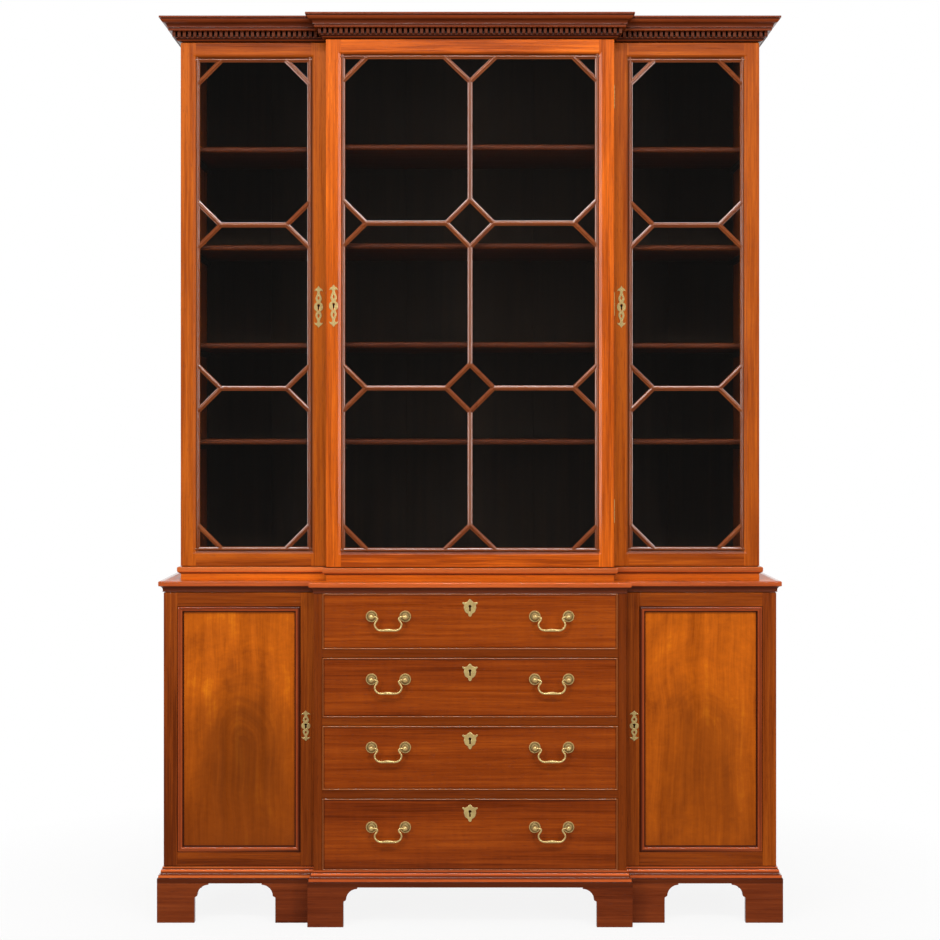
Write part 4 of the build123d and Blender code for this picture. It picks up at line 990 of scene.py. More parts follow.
def dentils(arris):
    """A course of dentils on a strip: one tooth is shaped, and the rest of each wall's row are its copies."""
    rows = []
    for start, end, (before, after) in zip(UPPER_WALK, UPPER_WALK[1:], STRIP_ENDS):
        start, end = Vector(start), Vector(end)
        way = (end - start).normalized()
        length = (end - start).length
        room = length - before[0] - after[0]
        count = round((room + TOOTH_GAP) / (TOOTH + TOOTH_GAP))
        tooth = board(before[0], before[0] + TOOTH, -TOOTH_OUT, TOOTH_LET_IN - STRIP_FRONT, 0, TOOTH_HEIGHT)
        eased(tooth, arris, segments=1)
        modified(tooth, "ARRAY", count=count, use_relative_offset=False, use_constant_offset=True,
                 constant_offset_displace=((room - TOOTH) / (count - 1) * MM, 0, 0))
        # painted shade: the teeth's sides and the strip between them are darkened
        dark = (TOOTH_UNSHADED - TOOTH_OUT) * MM
        paint_shade(tooth, [1.0 if point.co.y > dark else 0.0 for point in tooth.data.vertices])
        strip = board(before[1], length - after[1], -STRIP_FRONT, -STRIP_BACK, 0, TOOTH_HEIGHT)
        eased(strip, arris / 2, segments=1)
        row = joined("row", [tooth, paint_shade(strip, [1.0] * len(strip.data.vertices))])
        place = (start.x, start.y, CORNICE_LEVEL + TOOTH_LEVEL)
        rows.append(settle(row, place, (0, 0, math.atan2(way.y, way.x))))
    return joined("dentil_rows", rows)


class BOOKCASE_OT_cornice(bpy.types.Operator):
    """Build the cornice and its dentils"""
    bl_idname = "bookcase.cornice"
    bl_label = "Cornice"

    def execute(self, context):
        cornice = mitred_run(
            "cornice_lengths", curved(CORNICE_OUTLINE, chords=8), UPPER_WALK, CORNICE_LEVEL)
        dressed(smooth(cornice), "cornice", "root", "moulding_mahogany", "cornice_moulding")
        course = dentils(context.scene.bookcase_sizes.tooth_arris)
        dressed(course, "dentils", "root", "moulding_mahogany", "dentil_course")
        return {"FINISHED"}


# Doors

BAR_HALF = [  # one side of a glazing bar's section: across, and forward from the door's face
    (0, -2), (0.9, -2.05), (1.9, -2.4), (2.7, -3.0), (3.15, -3.9), (3.3, -5.0), (3.3, -5.5), (4.2, -5.9),
    (6.5, -6.4), (6.5, -8), (2, -8), (2, -15), (0, -15),
]
# Where the bars meet, from the corners, sides and middle of a door's opening
CORNER_PANE, FORK_REACH, FORK_RISE, LOWER_BAR, UPPER_BAR = 66, 63, 62, 437, 881
LOZENGE_HALF, LOZENGE_RISE, VEE_HALF, VEE_RISE = 64, 64, 70, 67
BAR_EDGE = 4.2  # from the side of a door's bars to the middle of the outermost
GLASS_ARRIS = 0.0002


def lattice_lines(x0, x1, y0, y1, centre):
    """The middle lines of a door's glazing bars: from point to point in the door's plane."""
    levels, middle = (y0 + LOWER_BAR, y0 + UPPER_BAR), (x0 + x1) / 2
    upright = [y0, y0 + CORNER_PANE]
    for level in levels:
        upright += [level - FORK_RISE, level + FORK_RISE]
    upright += [y1 - CORNER_PANE, y1]
    flat = [x0, x0 + CORNER_PANE] + ([middle - VEE_HALF, middle + VEE_HALF] if centre else [])
    flat += [x1 - CORNER_PANE, x1]
    lines = [((x, a), (x, b)) for x in (x0, x1) for a, b in zip(upright, upright[1:])]
    lines += [((a, y), (b, y)) for y in (y0, y1) for a, b in zip(flat, flat[1:])]
    for x, way in ((x0, 1), (x1, -1)):
        lines += [((x + way * CORNER_PANE, y0), (x, y0 + CORNER_PANE)),
                  ((x + way * CORNER_PANE, y1), (x, y1 - CORNER_PANE))]
        for level in levels:
            fork = (x + way * FORK_REACH, level)
            lines += [(fork, (x, level - FORK_RISE)), (fork, (x, level + FORK_RISE))]
            if centre:
                lozenge = (middle - way * LOZENGE_HALF, level)
                lines += [(fork, lozenge), (lozenge, (middle, level - LOZENGE_RISE)),
                          (lozenge, (middle, level + LOZENGE_RISE))]
        if centre:
            lines += [((middle - way * VEE_HALF, y0), (middle, y0 + VEE_RISE)),
                      ((middle - way * VEE_HALF, y1), (middle, y1 - VEE_RISE))]
    if centre:
        stops = [y0 + VEE_RISE]
        for level in levels:
            stops += [level - LOZENGE_RISE, level + LOZENGE_RISE]
        stops += [y1 - VEE_RISE]
        lines += [((middle, a), (middle, b)) for a, b in zip(stops[::2], stops[1::2])]
    else:
        lines += [((x0 + FORK_REACH, level), (x1 - FORK_REACH, level)) for level in levels]
    return lines


def mitre_cuts(point, way, lines):
    """The planes that part a bar from the nearest bars on its two sides, where several bars meet."""
    turns = []
    for line in lines:
        for here, there in (line, line[::-1]):
            if here == point:
                other = (Vector(there) - Vector(here)).normalized()
                turn = math.atan2(way.cross(other), way.dot(other)) % math.tau
                if SAME_WAY < turn < math.tau - SAME_WAY:
                    turns.append(turn)
    first, last = min(turns), max(turns)
    cuts = []
    for turn in {first, last}:
        if turn == first > math.pi + SAME_WAY or turn == last < math.pi - SAME_WAY:
            continue
        half = turn / 2 if turn < math.pi + SAME_WAY else (turn - math.tau) / 2
        side = -1 if half > 0 else 1
        line = Vector((way.x * math.cos(half) - way.y * math.sin(half),
                       way.x * math.sin(half) + way.y * math.cos(half)))
        cuts.append((Vector(point), Vector((-line.y, line.x)) * side))
    return cuts


def lattice(name, x0, x1, y0, y1, centre):
    """A door's glazing bars, lying on their back: each bar moulded and mitred against its neighbours."""
    lines = lattice_lines(x0, x1, y0, y1, centre)
    blank = drawn(BAR_HALF + [(-x, z) for x, z in BAR_HALF[-2:0:-1]])
    bars = []
    for start, end in lines:
        a, b = Vector(start), Vector(end)
        way = (b - a).normalized()
        cuts = mitre_cuts(start, way, lines) + mitre_cuts(end, -way, lines)
        bars.append(moulded_length(blank, a, b, BAR_SPARE, 0, cuts))
    bpy.data.objects.remove(blank)
    return smooth(joined(name, bars), degrees=32)


def front_of(node):
    """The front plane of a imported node, in millimetres."""
    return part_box(node)[0].y / MM


class BOOKCASE_OT_glazed_doors(bpy.types.Operator):
    """Build the three glazed doors: frames, glazing bars and panes"""
    bl_idname = "bookcase.glazed_doors"
    bl_label = "Glazed doors"

    def execute(self, context):
        for door, finish in UPPER_DOORS.items():
            planed(door + "_frame", finish, door, "carcass_mahogany")
            low, high = (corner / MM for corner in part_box(door + "_glazing_bars"))
            bars = lattice(door + "_bars", low.x + BAR_EDGE, high.x - BAR_EDGE,
                           low.z + BAR_EDGE, high.z - BAR_EDGE, door == "centre_upper_door")
            standing(bars, front_of(door + "_frame"))
            dressed(bars, "bars", door, "moulding_mahogany", door + "_glazing_bars")
            planed(door + "_glass", "glass", door, "glass", GLASS_ARRIS, segments=1)
        return {"FINISHED"}


PANEL_BEAD = [  # in from the frame, and forward from the frame's face
    (0, -8), (0, -1.4), (0.8, -1.4), (7, 2.8, -0.28), (14.4, -4.4, -0.28), (14.4, -6), (17, -6), (17, -8)]
PANEL_BEAD_DARK = 0.3  # forward of the frame's face, below which the moulding is painted in shadow
PANEL_SHADES = {"left_base_door": 0.8, "right_base_door": 0.5}  # how dark a panel's foot and plume are
SHADED_SIDE = 6.0  # of a panel moulding, next to the middle of the bookcase, that is painted in shadow


def face_span(door):
    """The two sides of a cupboard door's panel opening."""
    side = BASE_DOORS[door]
    ends = (side * (BASE_HALF - BASE_DOOR_FRAME),
            side * (BASE_CENTRE_HALF + BASE_DOOR_GAP + BASE_DOOR_FRAME))
    return min(ends), max(ends)


def surround(name, outline, span, z0, z1, front, dark_below=None):
    """A mitred moulding round the inside of an upright rectangle."""
    x0, x1 = span
    walk = [(x0, z1), (x1, z1), (x1, z0), (x0, z0)]
    return standing(mitred_run(name, outline, walk, closed=True, dark_below=dark_below), front)


class BOOKCASE_OT_cupboard_doors(bpy.types.Operator):
    """Build the two cupboard doors: frames, panel mouldings and veneered panels"""
    bl_idname = "bookcase.cupboard_doors"
    bl_label = "Cupboard doors"

    def execute(self, context):
        outline = curved(PANEL_BEAD, chords=8)
        z0, z1 = BASE_DOOR_FOOT + BASE_DOOR_FRAME, BASE_DOOR_TOP - BASE_DOOR_FRAME
        for door in BASE_DOORS:
            planed(door + "_frame", "base_frame", door, "carcass_mahogany")
            front = front_of(door + "_frame")
            x0, x1 = face_span(door)
            run = surround(door + "_panel_bead", outline, (x0, x1), z0, z1, front, PANEL_BEAD_DARK)
            # painted shadow on the moulding's side next to the projecting middle
            shaded = (min(abs(x0), abs(x1)) + SHADED_SIDE) * MM
            for point, painted_shade in zip(run.data.vertices, run.data.attributes["painted_shade"].data):
                if abs(point.co.x) < shaded:
                    painted_shade.value = 1.0
            dressed(smooth(run), "moulding", door, "moulding_mahogany", door + "_panel_moulding")
            middle = ((x0 + x1) / 2, front, (z0 + z1) / 2)
            figured = tuple(context.scene.bookcase_colours.figured)
            FINISHES[door] = panel_veneer(door + " veneer", figured, middle, PANEL_SHADES[door])
            keep_node(door + "_panel", door)
        return {"FINISHED"}


# Drawers

KEYHOLE_RADIUS, KEYHOLE_RISE, KEYHOLE_TURN, KEYHOLE_STEPS = 3.9, 4.2, 150.0, 14
SLOT_HALF, SLOT_DROP = 2.2, 9.8
COCK_BEAD = [(0, -10), (0, 0.6), (3.4, 0.6, -0.46), (3.4, -10)]  # in from the edge, and forward
BEAD_WIDTH, BORDER_WIDTH = 3.4, 4.2  # round the face of a drawer
FACE_STEP, FACE_THICKNESS = 10.0, 20.0
FACE_DARK, FACE_DARK_REACH = 0.8, 4.0  # the painted shadow along the cock bead, and where it starts to fade
LOCK_HALF, LOCK_RISE, LOCK_DEPTH, LOCK_SPARE = 11.0, 24.0, 9.0, 3.0
LOCK_ARRIS = 0.0004


def keyhole_outline(x=0.0, z=0.0):
    """A keyhole about the middle of its lock: a round head with a slot below it."""
    head = []
    for i in range(KEYHOLE_STEPS + 1):
        turn = math.radians(-KEYHOLE_TURN + 2 * KEYHOLE_TURN * i / KEYHOLE_STEPS)
        head.append((KEYHOLE_RADIUS * math.sin(turn), KEYHOLE_RISE + KEYHOLE_RADIUS * math.cos(turn)))
    return [(x + u, z + v) for u, v in head + [(SLOT_HALF, -SLOT_DROP), (-SLOT_HALF, -SLOT_DROP)]]


def keyhole_cutter(x, z, y0, y1):
    """A keyhole to cut with, from one depth to another."""
    return settle(thickened(drawn(keyhole_outline(x, z)), y1 - y0), (0, y0, 0))


def cut(piece, *cutters):
    """Cut shapes out of a piece."""
    for cutter in cutters:
        modified(piece, "BOOLEAN", operation="DIFFERENCE", object=cutter, solver="EXACT")
        bpy.data.objects.remove(cutter)
    return piece


def lock_case(x, level, back):
    """A lock let into a board from behind, with its keyhole."""
    case = board(x - LOCK_HALF, x + LOCK_HALF, back - LOCK_DEPTH, back, level - LOCK_RISE, level + LOCK_RISE)
    eased(case, LOCK_ARRIS, segments=1)
    return cut(case, keyhole_cutter(x, level, back - LOCK_DEPTH - LOCK_SPARE, back + LOCK_SPARE))


def shield_middle(z1):
    """The level of the keyhole in a drawer whose face ends at z1."""
    return z1 - SHIELD_DROP - SHIELD_HEIGHT / 2


def drawer_face(z0, z1):
    """A drawer's front board: its face steps forward inside the cock bead, and has a painted shadow along it.
    """
    front = BASE_CENTRE_FRONT
    face = board(-DRAWER_HALF, DRAWER_HALF, front + FACE_STEP, front + FACE_THICKNESS, z0, z1)
    edit(face)
    bpy.ops.mesh.select_all(action="DESELECT")
    mesh = bmesh.from_edit_mesh(face.data)
    for side in mesh.faces:
        side.select_set(side.normal.y < -0.5)
    bmesh.update_edit_mesh(face.data)
    bpy.ops.mesh.inset(thickness=BEAD_WIDTH * MM)
    bpy.ops.mesh.extrude_region_move(TRANSFORM_OT_translate={"value": (0, -FACE_STEP * MM, 0)})
    bpy.ops.mesh.inset(thickness=BORDER_WIDTH * MM)
    bpy.ops.mesh.select_all(action="SELECT")
    bpy.ops.mesh.normals_make_consistent(inside=False)
    close()
    edge, low, high = DRAWER_HALF - FACE_DARK_REACH, z0 + FACE_DARK_REACH, z1 - FACE_DARK_REACH
    paint_shade(face, [
        0.0 if abs(point.co.x) <= edge * MM and low * MM < point.co.z < high * MM else FACE_DARK
        for point in face.data.vertices])
    return cut(face, keyhole_cutter(0, shield_middle(z1), front - 5, front + FACE_STEP + 1))


class BOOKCASE_OT_drawers(bpy.types.Operator):
    """Build the four drawers: fronts with cock beads, and boxes"""
    bl_idname = "bookcase.drawers"
    bl_label = "Drawers"

    def execute(self, context):
        bead = curved(COCK_BEAD, chords=8)
        for drawer, (z0, z1) in DRAWER_FACES.items():
            face = drawer_face(z0, z1)
            beads = surround("bead", bead, (-DRAWER_HALF, DRAWER_HALF), z0, z1, BASE_CENTRE_FRONT)
            dressed(smooth(beads), "cock_bead", drawer, "figured_mahogany")
            beads.name = beads.data.name = drawer + "_cock_bead"
            face.name = face.data.name = drawer + "_face"
            dressed(face, "drawer", drawer, "figured_mahogany", drawer + "_front")
            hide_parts(drawer + "_front")
            planed(drawer + "_box", "pine", drawer, "secondary_wood")
        return {"FINISHED"}


# Brass

POST_OUTLINE = [  # radius and distance from the drawer front
    (0, 0), (15.5, 0), (15.5, 1.5), (15.1, 2.5), (14.2, 3.1), (13.2, 2.9), (12.5, 2.1), (11.4, 1.9),
    (9.8, 3.0), (7.6, 5.2), (5.4, 7.4), (4.2, 9.6), (3.7, 11.8), (4.3, 13.4), (5.7, 15.0), (6.6, 17.4),
    (6.8, 20.0), (6.6, 22.4), (5.7, 24.6), (4.2, 26.0), (2.2, 26.7), (0, 26.8),
]
BAIL_LINE = [  # from the knob to the middle of the grip: across, down, thickness
    (-40.0, 0.0, 1.6), (-37.4, 0.0, 1.9), (-33.4, 0.2, 2.3), (-29.6, -1.6, 2.6), (-28.2, -5.4, 2.7),
    (-30.4, -9.6, 2.5), (-34.4, -14.6, 2.4), (-36.2, -20.2, 2.4), (-34.6, -26.6, 2.5), (-30.6, -31.8, 2.6),
    (-25.0, -35.2, 2.7), (-18.0, -36.2, 2.8), (-12.0, -35.7, 3.3), (-6.0, -35.2, 3.9),
]
SHIELD_HALF = [
    (0, 0), (2.6, -1.6), (5.8, -5.4), (10.6, -8.4), (15.0, -8.8), (18.4, -7.6), (20.9, -9.4), (19.6, -12.4),
    (16.6, -14.4), (15.2, -17.4), (16.3, -20.2), (16.8, -23.8), (15.0, -27.0), (14.7, -30.0), (12.9, -33.8),
    (9.2, -36.8), (5.6, -38.8), (4.8, -40.6), (4.4, -43.4), (2.4, -46.0), (0, -47.0),
]
PLATE_UPPER = [
    (0, 57.5), (2.2, 54.0), (4.6, 51.0), (7.6, 49.6), (10.2, 46.8), (12.4, 42.0), (9.4, 43.6), (6.4, 44.0),
    (4.4, 42.8), (3.5, 40.2), (3.9, 36.4), (5.7, 31.8), (7.7, 27.2), (8.5, 22.8), (7.9, 18.6), (6.2, 15.2),
    (5.0, 12.8), (6.2, 11.2), (9.4, 9.2), (11.5, 5.4),
]
PLATE_SIDE = (12.2, 0)
PLATE_LOOP = [(0, 30.6), (1.7, 28.0), (2.7, 24.4), (2.0, 21.0), (0, 18.8)]


def halves(points):
    """A half outline and its mirror image."""
    return points + [(-x, y) for x, y in reversed(points) if x > 0]


PLATE_THICKNESS, PLATE_DARK = 1.6, 0.9  # a plate's sides are painted in shade from that far behind its face
GRIP_MIDDLE = (0.0, -35.0, 4.2)
RING_PLACE, RING_DROP, RING_RADIUS, RING_WIRE = 17.0, 35.9, 2.6, 1.1


def plate(name, outline, holes, stretch=1.0):
    """A pierced brass plate whose back lies in the plane of X and Z."""
    piece = thickened(drawn([(x, z * stretch) for x, z in outline]), -PLATE_THICKNESS)
    for hole in holes:
        cutter = thickened(drawn([(x, z * stretch) for x, z in hole]), HOLE_CUT)
        cut(piece, settle(cutter, (0, -HOLE_CUT / 2, 0)))
    piece.name = name
    eased(piece, bpy.context.scene.bookcase_sizes.brass_arris, segments=2)
    # painted shade on the back half of the plate's sides and holes
    return paint_shade(piece, [float(point.co.y > -PLATE_DARK * MM) for point in piece.data.vertices])


def placed(piece, name, x, y, z):
    """A copy of a piece at another place."""
    return settle(copied(piece, name), (x, y, z))


def bail():
    """A swan-neck bail about the middle between its knobs, with a swelling grip between two rings."""
    deselect()
    bpy.ops.curve.primitive_nurbs_path_add()
    line = bpy.context.object
    line.data.splines.clear()
    spline = line.data.splines.new("NURBS")
    points = BAIL_LINE + [GRIP_MIDDLE] + [(-x, z, radius) for x, z, radius in reversed(BAIL_LINE)]
    spline.points.add(len(points) - 1)
    for point, (x, z, radius) in zip(spline.points, points):
        point.co = (x * MM, 0, z * MM, 1)
        point.radius = radius
    spline.order_u = 3
    spline.use_endpoint_u = True
    spline.resolution_u = 4
    line.data.bevel_depth = MM
    line.data.bevel_resolution = 3
    line.data.use_fill_caps = True
    select(line)
    bpy.ops.object.convert(target="MESH")
    parts = [outward(bpy.context.object)]
    for x in (-RING_PLACE, RING_PLACE):
        deselect()
        bpy.ops.mesh.primitive_torus_add(
            major_radius=RING_RADIUS * MM, minor_radius=RING_WIRE * MM, major_segments=20, minor_segments=8,
            location=(x * MM, 0, -RING_DROP * MM), rotation=(0, math.pi / 2, 0))
        parts.append(settle_here(bpy.context.object))
    return smooth(joined("bail", parts), degrees=50)


HINGE_HEIGHT, LEAF_WIDTH, LEAF_CLEAR, LEAF_NEAR, LEAF_FAR = 64.0, 18.0, 3.7, 0.25, 2.05
KNUCKLE_RADIUS, KNUCKLE_GAP, KNUCKLE_EASE = 3.2, 0.15, 0.5
SCREW_HEAD = [(0, 0), (2.9, 0), (2.9, 0.25), (2.2, 0.55), (0, 0.7)]  # radius and height
SCREW_PLACE, SCREW_STEP, SCREW_OUT = 11.0, 22.0, 0.7


def hinge(x, side, joint, level, front):
    """One half of a butt hinge: a leaf let into the wood and its turned knuckles on the corner."""
    way = -1 if front else 1
    ys = sorted((joint + LEAF_NEAR * way, joint + LEAF_FAR * way))
    third, bottom = HINGE_HEIGHT / 3, level - HINGE_HEIGHT / 2
    inner, clear = x - side * LEAF_WIDTH, x - side * LEAF_CLEAR
    parts = [board(min(inner, clear), max(inner, clear), *ys, bottom, bottom + HINGE_HEIGHT)]
    top, slim = third - KNUCKLE_GAP, KNUCKLE_RADIUS - KNUCKLE_EASE
    for i in (1,) if front else (0, 2):
        low = bottom + third * i
        parts.append(board(min(clear, x), max(clear, x), *ys, low + KNUCKLE_GAP, low + top))
        knuckle = turned([
            (0, KNUCKLE_GAP), (slim, KNUCKLE_GAP), (KNUCKLE_RADIUS, KNUCKLE_GAP + KNUCKLE_EASE),
            (KNUCKLE_RADIUS, top - KNUCKLE_EASE), (slim, top), (0, top)], steps=16)
        parts.append(settle(knuckle, (x, joint, low)))
    head = turned(SCREW_HEAD, steps=12)
    for z in (level - SCREW_STEP, level, level + SCREW_STEP):
        place = (x - side * SCREW_PLACE, joint + SCREW_OUT * way, z)
        parts.append(settle(copied(head, "screw"), place, (way * math.pi / 2, 0, 0)))
    bpy.data.objects.remove(head)
    return parts


def hinges(name, hanging, front):
    """The halves of all the hinges of one door, on the door or on the case."""
    x, side, joint, levels = hanging
    parts = []
    for level in levels:
        parts += hinge(x, side, joint, level, front)
    return smooth(joined(name, parts), degrees=40)


UPPER_HINGE_LEVELS, BASE_HINGE_LEVELS = (1106, 1666, 2226), (240, 797)
HANGINGS = {  # side face, its direction, joint plane and levels
    "left_upper_door": (-UPPER_HALF, -1, -124.35, UPPER_HINGE_LEVELS),
    "centre_upper_door": (UPPER_CENTRE_HALF, 1, -174.35, UPPER_HINGE_LEVELS),
    "right_upper_door": (UPPER_HALF, 1, -124.35, UPPER_HINGE_LEVELS),
    "left_base_door": (-BASE_HALF, -1, -162.35, BASE_HINGE_LEVELS),
    "right_base_door": (BASE_HALF, 1, -162.35, BASE_HINGE_LEVELS),
}
LOCKS = {  # keyhole's place across and up
    "left_upper_door": (-411.0, 1659.0), "centre_upper_door": (-367.0, 1659.0),
    "right_upper_door": (411.0, 1659.0), "left_base_door": (-442.5, 527.5), "right_base_door": (442.5, 527.5),
}
LONG_PLATE, SHORT_PLATE = 115.0, 82.0  # heights of the doors' keyhole plates


class BOOKCASE_OT_brass(bpy.types.Operator):
    """Build hinges, locks and pierced keyhole plates of the doors"""
    bl_idname = "bookcase.brass"
    bl_label = "Door brassware"

    def execute(self, context):
        outline = halves(PLATE_UPPER + [PLATE_SIDE] + [(x, -z) for x, z in reversed(PLATE_UPPER)])
        holes = [keyhole_outline(), halves(PLATE_LOOP), [(x, -z) for x, z in halves(PLATE_LOOP)]]
        long_plate = plate("long plate", outline, holes)
        short_plate = plate("short plate", outline, holes, SHORT_PLATE / LONG_PLATE)
        fixed = []
        for door, hanging in HANGINGS.items():
            x, level = LOCKS[door]
            thickness = UPPER_DOOR_THICKNESS if door in UPPER_DOORS else BASE_DOOR_THICKNESS
            model = long_plate if door in UPPER_DOORS else short_plate
            back = hanging[2] - LEAF_NEAR
            lock = lock_case(x, level, back)
            front = placed(model, "keyhole plate", x, back - thickness, level)
            parts = [front, lock, hinges("half", hanging, True)]
            dressed(joined(door + "_brass", parts), "brass", door, "brass", door + "_brassware")
            fixed.append(hinges("half", hanging, False))
        dressed(joined("case_hinge_halves", fixed), "brass", "root", "brass", "hinge_fixed_halves")
        for model in (long_plate, short_plate):
            bpy.data.objects.remove(model)
        return {"FINISHED"}


NECK = (6.0, 14.5)  # where a post is thin, from the drawer's front
ROSE_HOLLOW, ROSE_FACE = (9.0, 12.7), 1.7  # the ring round the middle of a rose, and how far out it lies
# how dark the painted shade is in a post's neck and in its rose's hollow ring
NECK_SHADE, ROSE_SHADE = 1.0, 0.7


def post_shade(x, y, z):
    """How strongly a handle post is painted in shade at a point given in millimetres."""
    if NECK[0] < -y < NECK[1]:
        return NECK_SHADE
    return ROSE_SHADE if ROSE_HOLLOW[0] < math.hypot(x, z) < ROSE_HOLLOW[1] and -y > ROSE_FACE else 0.0


class BOOKCASE_OT_handles(bpy.types.Operator):
    """Build the drawers' shields, posts and swan-neck bails"""
    bl_idname = "bookcase.handles"
    bl_label = "Drawer handles"

    def execute(self, context):
        front = BASE_CENTRE_FRONT
        shield = plate("shield", halves(SHIELD_HALF), [keyhole_outline(0, -SHIELD_HEIGHT / 2)])
        post = settle(turned(POST_OUTLINE, steps=28), (0, 0, 0), (math.pi / 2, 0, 0))
        smooth(post, degrees=40)
        paint_shade(post, [post_shade(*(point.co / MM)) for point in post.data.vertices])
        model = bail()
        for drawer, (_, z1) in DRAWER_FACES.items():
            level = HANDLE_LEVELS[drawer]
            lock = lock_case(0, shield_middle(z1), front + FACE_THICKNESS)
            parts = [placed(shield, "shield", 0, front, z1 - SHIELD_DROP), lock]
            for side, word in ((-1, "left"), (1, "right")):
                middle = side * HANDLE_MIDDLE
                for x in (middle - POST_HALF, middle + POST_HALF):
                    parts.append(placed(post, "post", x, front, level))
                node = f"{drawer}_{word}_bail"
                ring = placed(model, node + "_wire", middle, front - KNOB_OUT, level)
                dressed(ring, "brass", node, "brass", node)
            dressed(joined(drawer + "_brass", parts), "brass", drawer, "brass", drawer + "_brassware")
        for piece in (shield, post, model):
            bpy.data.objects.remove(piece)
        return {"FINISHED"}


# Stage

LENS, SENSOR, LENS_SHIFT = 78.85, 36.0, -0.0426
LAMPS = (  # place, width and height, and power
    ("Left soft box", (-2.9, -4.2, 2.1), (0.9, 2.6), 58),
    ("Right soft box", (2.9, -4.2, 2.1), (0.9, 2.6), 58),
    ("Top strip box", (0, -3.4, 3.9), (3.4, 0.45), 100),
)
LAMP_TARGET = (0.0, 0.0, 1.15)
PAPER, ROOM = (1.0, 1.0, 1.0, 1.0), (1.0, 0.98, 0.95, 1.0)
ROOM_LIGHT, ROOM_MIRRORED = 0.34, 0.07  # how bright the room is, and how bright in the polish
FLOOR_COLOUR = (0.93, 0.93, 0.92, 1.0)
FLOOR_RADIUS, FLOOR_RIM = 3.2, 1.6
FLOOR_FADE = (0.7, 1.9, 0.88, 1.0)  # from one distance to another, how much the floor gives way to the white


def stage_lamp(name, place, size, power):
    """A soft box that faces the bookcase."""
    data = bpy.data.lights.new(name, "AREA")
    data.shape = "RECTANGLE"
    data.size, data.size_y = size
    data.energy = power
    lamp = bpy.data.objects.new(name, data)
    bpy.context.scene.collection.objects.link(lamp)
    lamp.location = place
    lamp.rotation_euler = (Vector(LAMP_TARGET) - Vector(place)).to_track_quat("-Z", "Y").to_euler()


def studio_world():
    """White behind the bookcase for the eye, for gloss and through glass; a darker room in front of it."""
    world = bpy.data.worlds.new("Studio")
    world.use_nodes = True
    world.node_tree.nodes.clear()
    add = partial(add_node, world.node_tree)
    path = add("LightPath").outputs
    way = add("SeparateXYZ", {0: add("TexCoord").outputs["Generated"]}).outputs
    behind = add("MapRange", {"Value": way["Y"], "From Min": 0.0, "From Max": 0.35}).outputs[0]
    bent = add("Math", {0: path["Is Glossy Ray"], 1: path["Is Transmission Ray"]}, operation="MAXIMUM")
    bent = add("Math", {0: bent.outputs[0], 1: behind}, operation="MULTIPLY")
    white = add("Math", {0: path["Is Camera Ray"], 1: bent.outputs[0]}, operation="MAXIMUM").outputs[0]
    room = add("Background", {"Color": ROOM, "Strength": ROOM_LIGHT}).outputs[0]
    dark = add("Background", {"Color": ROOM, "Strength": ROOM_MIRRORED}).outputs[0]
    paper = add("Background", {"Color": PAPER, "Strength": 1.0}).outputs[0]
    room = add("MixShader", {0: path["Is Glossy Ray"], 1: room, 2: dark}).outputs[0]
    add("OutputWorld", {"Surface": add("MixShader", {0: white, 1: room, 2: paper}).outputs[0]})
    bpy.context.scene.world = world


def studio_floor():
    """A pale floor that keeps the shadow near the bookcase and fades into the white further out."""
    deselect()
    bpy.ops.mesh.primitive_circle_add(
        vertices=96, radius=FLOOR_RADIUS, fill_type="NGON", location=(0, 0, 0))
    floor = bpy.context.object
    floor.name = "studio_floor"
    edit(floor)
    bpy.ops.mesh.inset(thickness=FLOOR_RIM)
    close()
    finish = Finish("Pale floor")
    place = finish.place()
    grit = finish.add("TexNoise", {"Vector": place, "Scale": 60.0, "Detail": 3.0}).outputs["Fac"]
    matt = finish.add("BsdfPrincipled", {
        "Base Color": FLOOR_COLOUR, "Roughness": finish.span(grit, 0.3, 0.7, 0.7, 0.85),
        "Specular IOR Level": 0.2}).outputs[0]
    clear = finish.add("BsdfTransparent").outputs[0]
    fade = finish.span(finish.length(place), *FLOOR_FADE)
    floor.data.materials.append(finish.done(finish.add("MixShader", {0: fade, 1: matt, 2: clear}).outputs[0]))


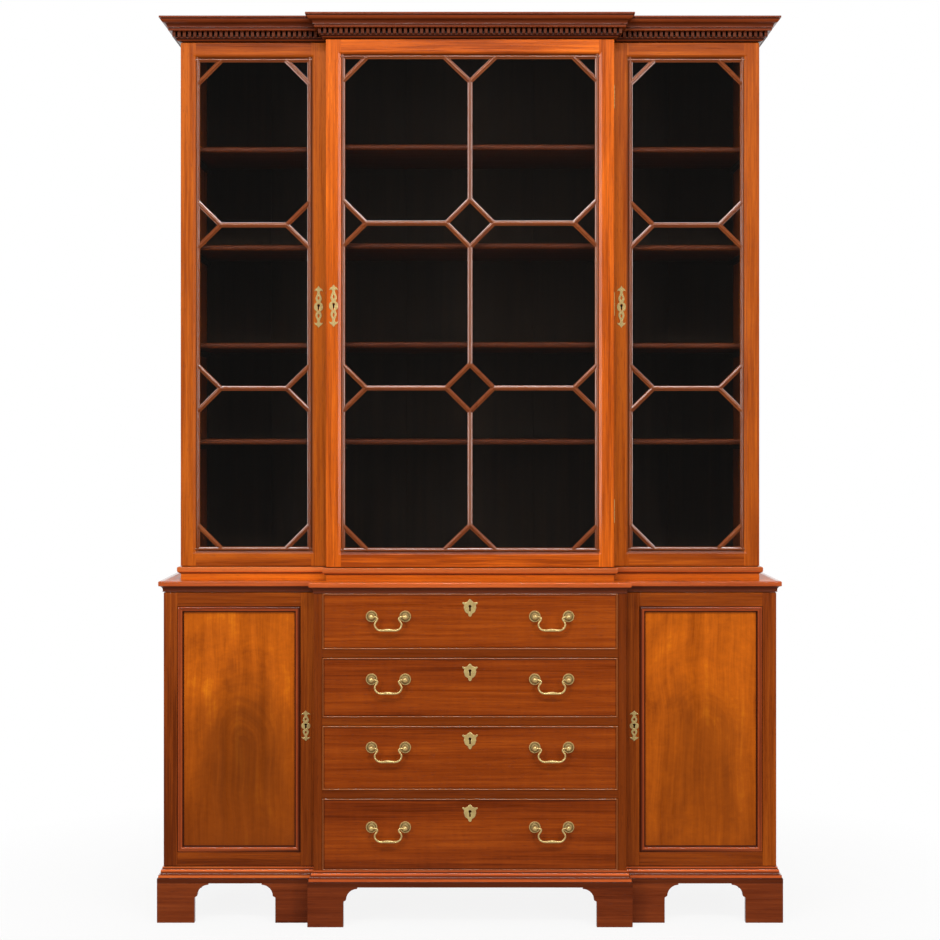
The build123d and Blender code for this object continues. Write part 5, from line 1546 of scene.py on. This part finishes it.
class BOOKCASE_OT_stage(bpy.types.Operator):
    """Lay the floor, set the lamps and place the camera"""
    bl_idname = "bookcase.stage"
    bl_label = "Studio"

    def execute(self, context):
        scene = context.scene
        sizes = scene.bookcase_sizes
        scene.view_settings.view_transform = "Standard"
        studio_world()
        studio_floor()
        for lamp in LAMPS:
            stage_lamp(*lamp)
        data = bpy.data.cameras.new("Camera")
        data.sensor_width = SENSOR
        data.lens = LENS
        data.shift_y = LENS_SHIFT
        camera = bpy.data.objects.new("Camera", data)
        camera.location = (0.0, BASE_CENTRE_FRONT * MM - sizes.camera_distance, sizes.camera_height)
        camera.rotation_euler = (math.pi / 2, 0, 0)
        scene.collection.objects.link(camera)
        scene.camera = camera
        return {"FINISHED"}


class BOOKCASE_PT_panel(bpy.types.Panel):
    """The bookcase's operators and sizes in the sidebar"""
    bl_idname = "BOOKCASE_PT_panel"
    bl_label = "Breakfront bookcase"
    bl_space_type = "VIEW_3D"
    bl_region_type = "UI"
    bl_category = "Bookcase"

    def draw(self, context):
        for group in (context.scene.bookcase_sizes, context.scene.bookcase_colours):
            for name in group.bl_rna.properties.keys():
                if name not in ("rna_type", "name"):
                    self.layout.prop(group, name)
        for operator in OPERATORS:
            self.layout.operator(operator.bl_idname)


OPERATORS = (
    BOOKCASE_OT_stage, BOOKCASE_OT_cases, BOOKCASE_OT_shelves, BOOKCASE_OT_base_mouldings, BOOKCASE_OT_waist,
    BOOKCASE_OT_cornice, BOOKCASE_OT_glazed_doors, BOOKCASE_OT_cupboard_doors, BOOKCASE_OT_drawers,
    BOOKCASE_OT_brass, BOOKCASE_OT_handles,
)
CLASSES = (BookcaseSizes, BookcaseColours, *OPERATORS, BOOKCASE_PT_panel)


def register():
    """Register the classes and hang the settings on the scene."""
    for entry in CLASSES:
        bpy.utils.register_class(entry)
    bpy.types.Scene.bookcase_sizes = bpy.props.PointerProperty(type=BookcaseSizes)
    bpy.types.Scene.bookcase_colours = bpy.props.PointerProperty(type=BookcaseColours)


def unregister():
    """Take the settings and the classes away again."""
    del bpy.types.Scene.bookcase_colours
    del bpy.types.Scene.bookcase_sizes
    for entry in reversed(CLASSES):
        bpy.utils.unregister_class(entry)


def main():
    """Build everything in order."""
    register()
    make_finishes()
    for operator in OPERATORS:
        group, name = operator.bl_idname.split(".")
        getattr(getattr(bpy.ops, group), name)()


if __name__ == "__main__":
    main()
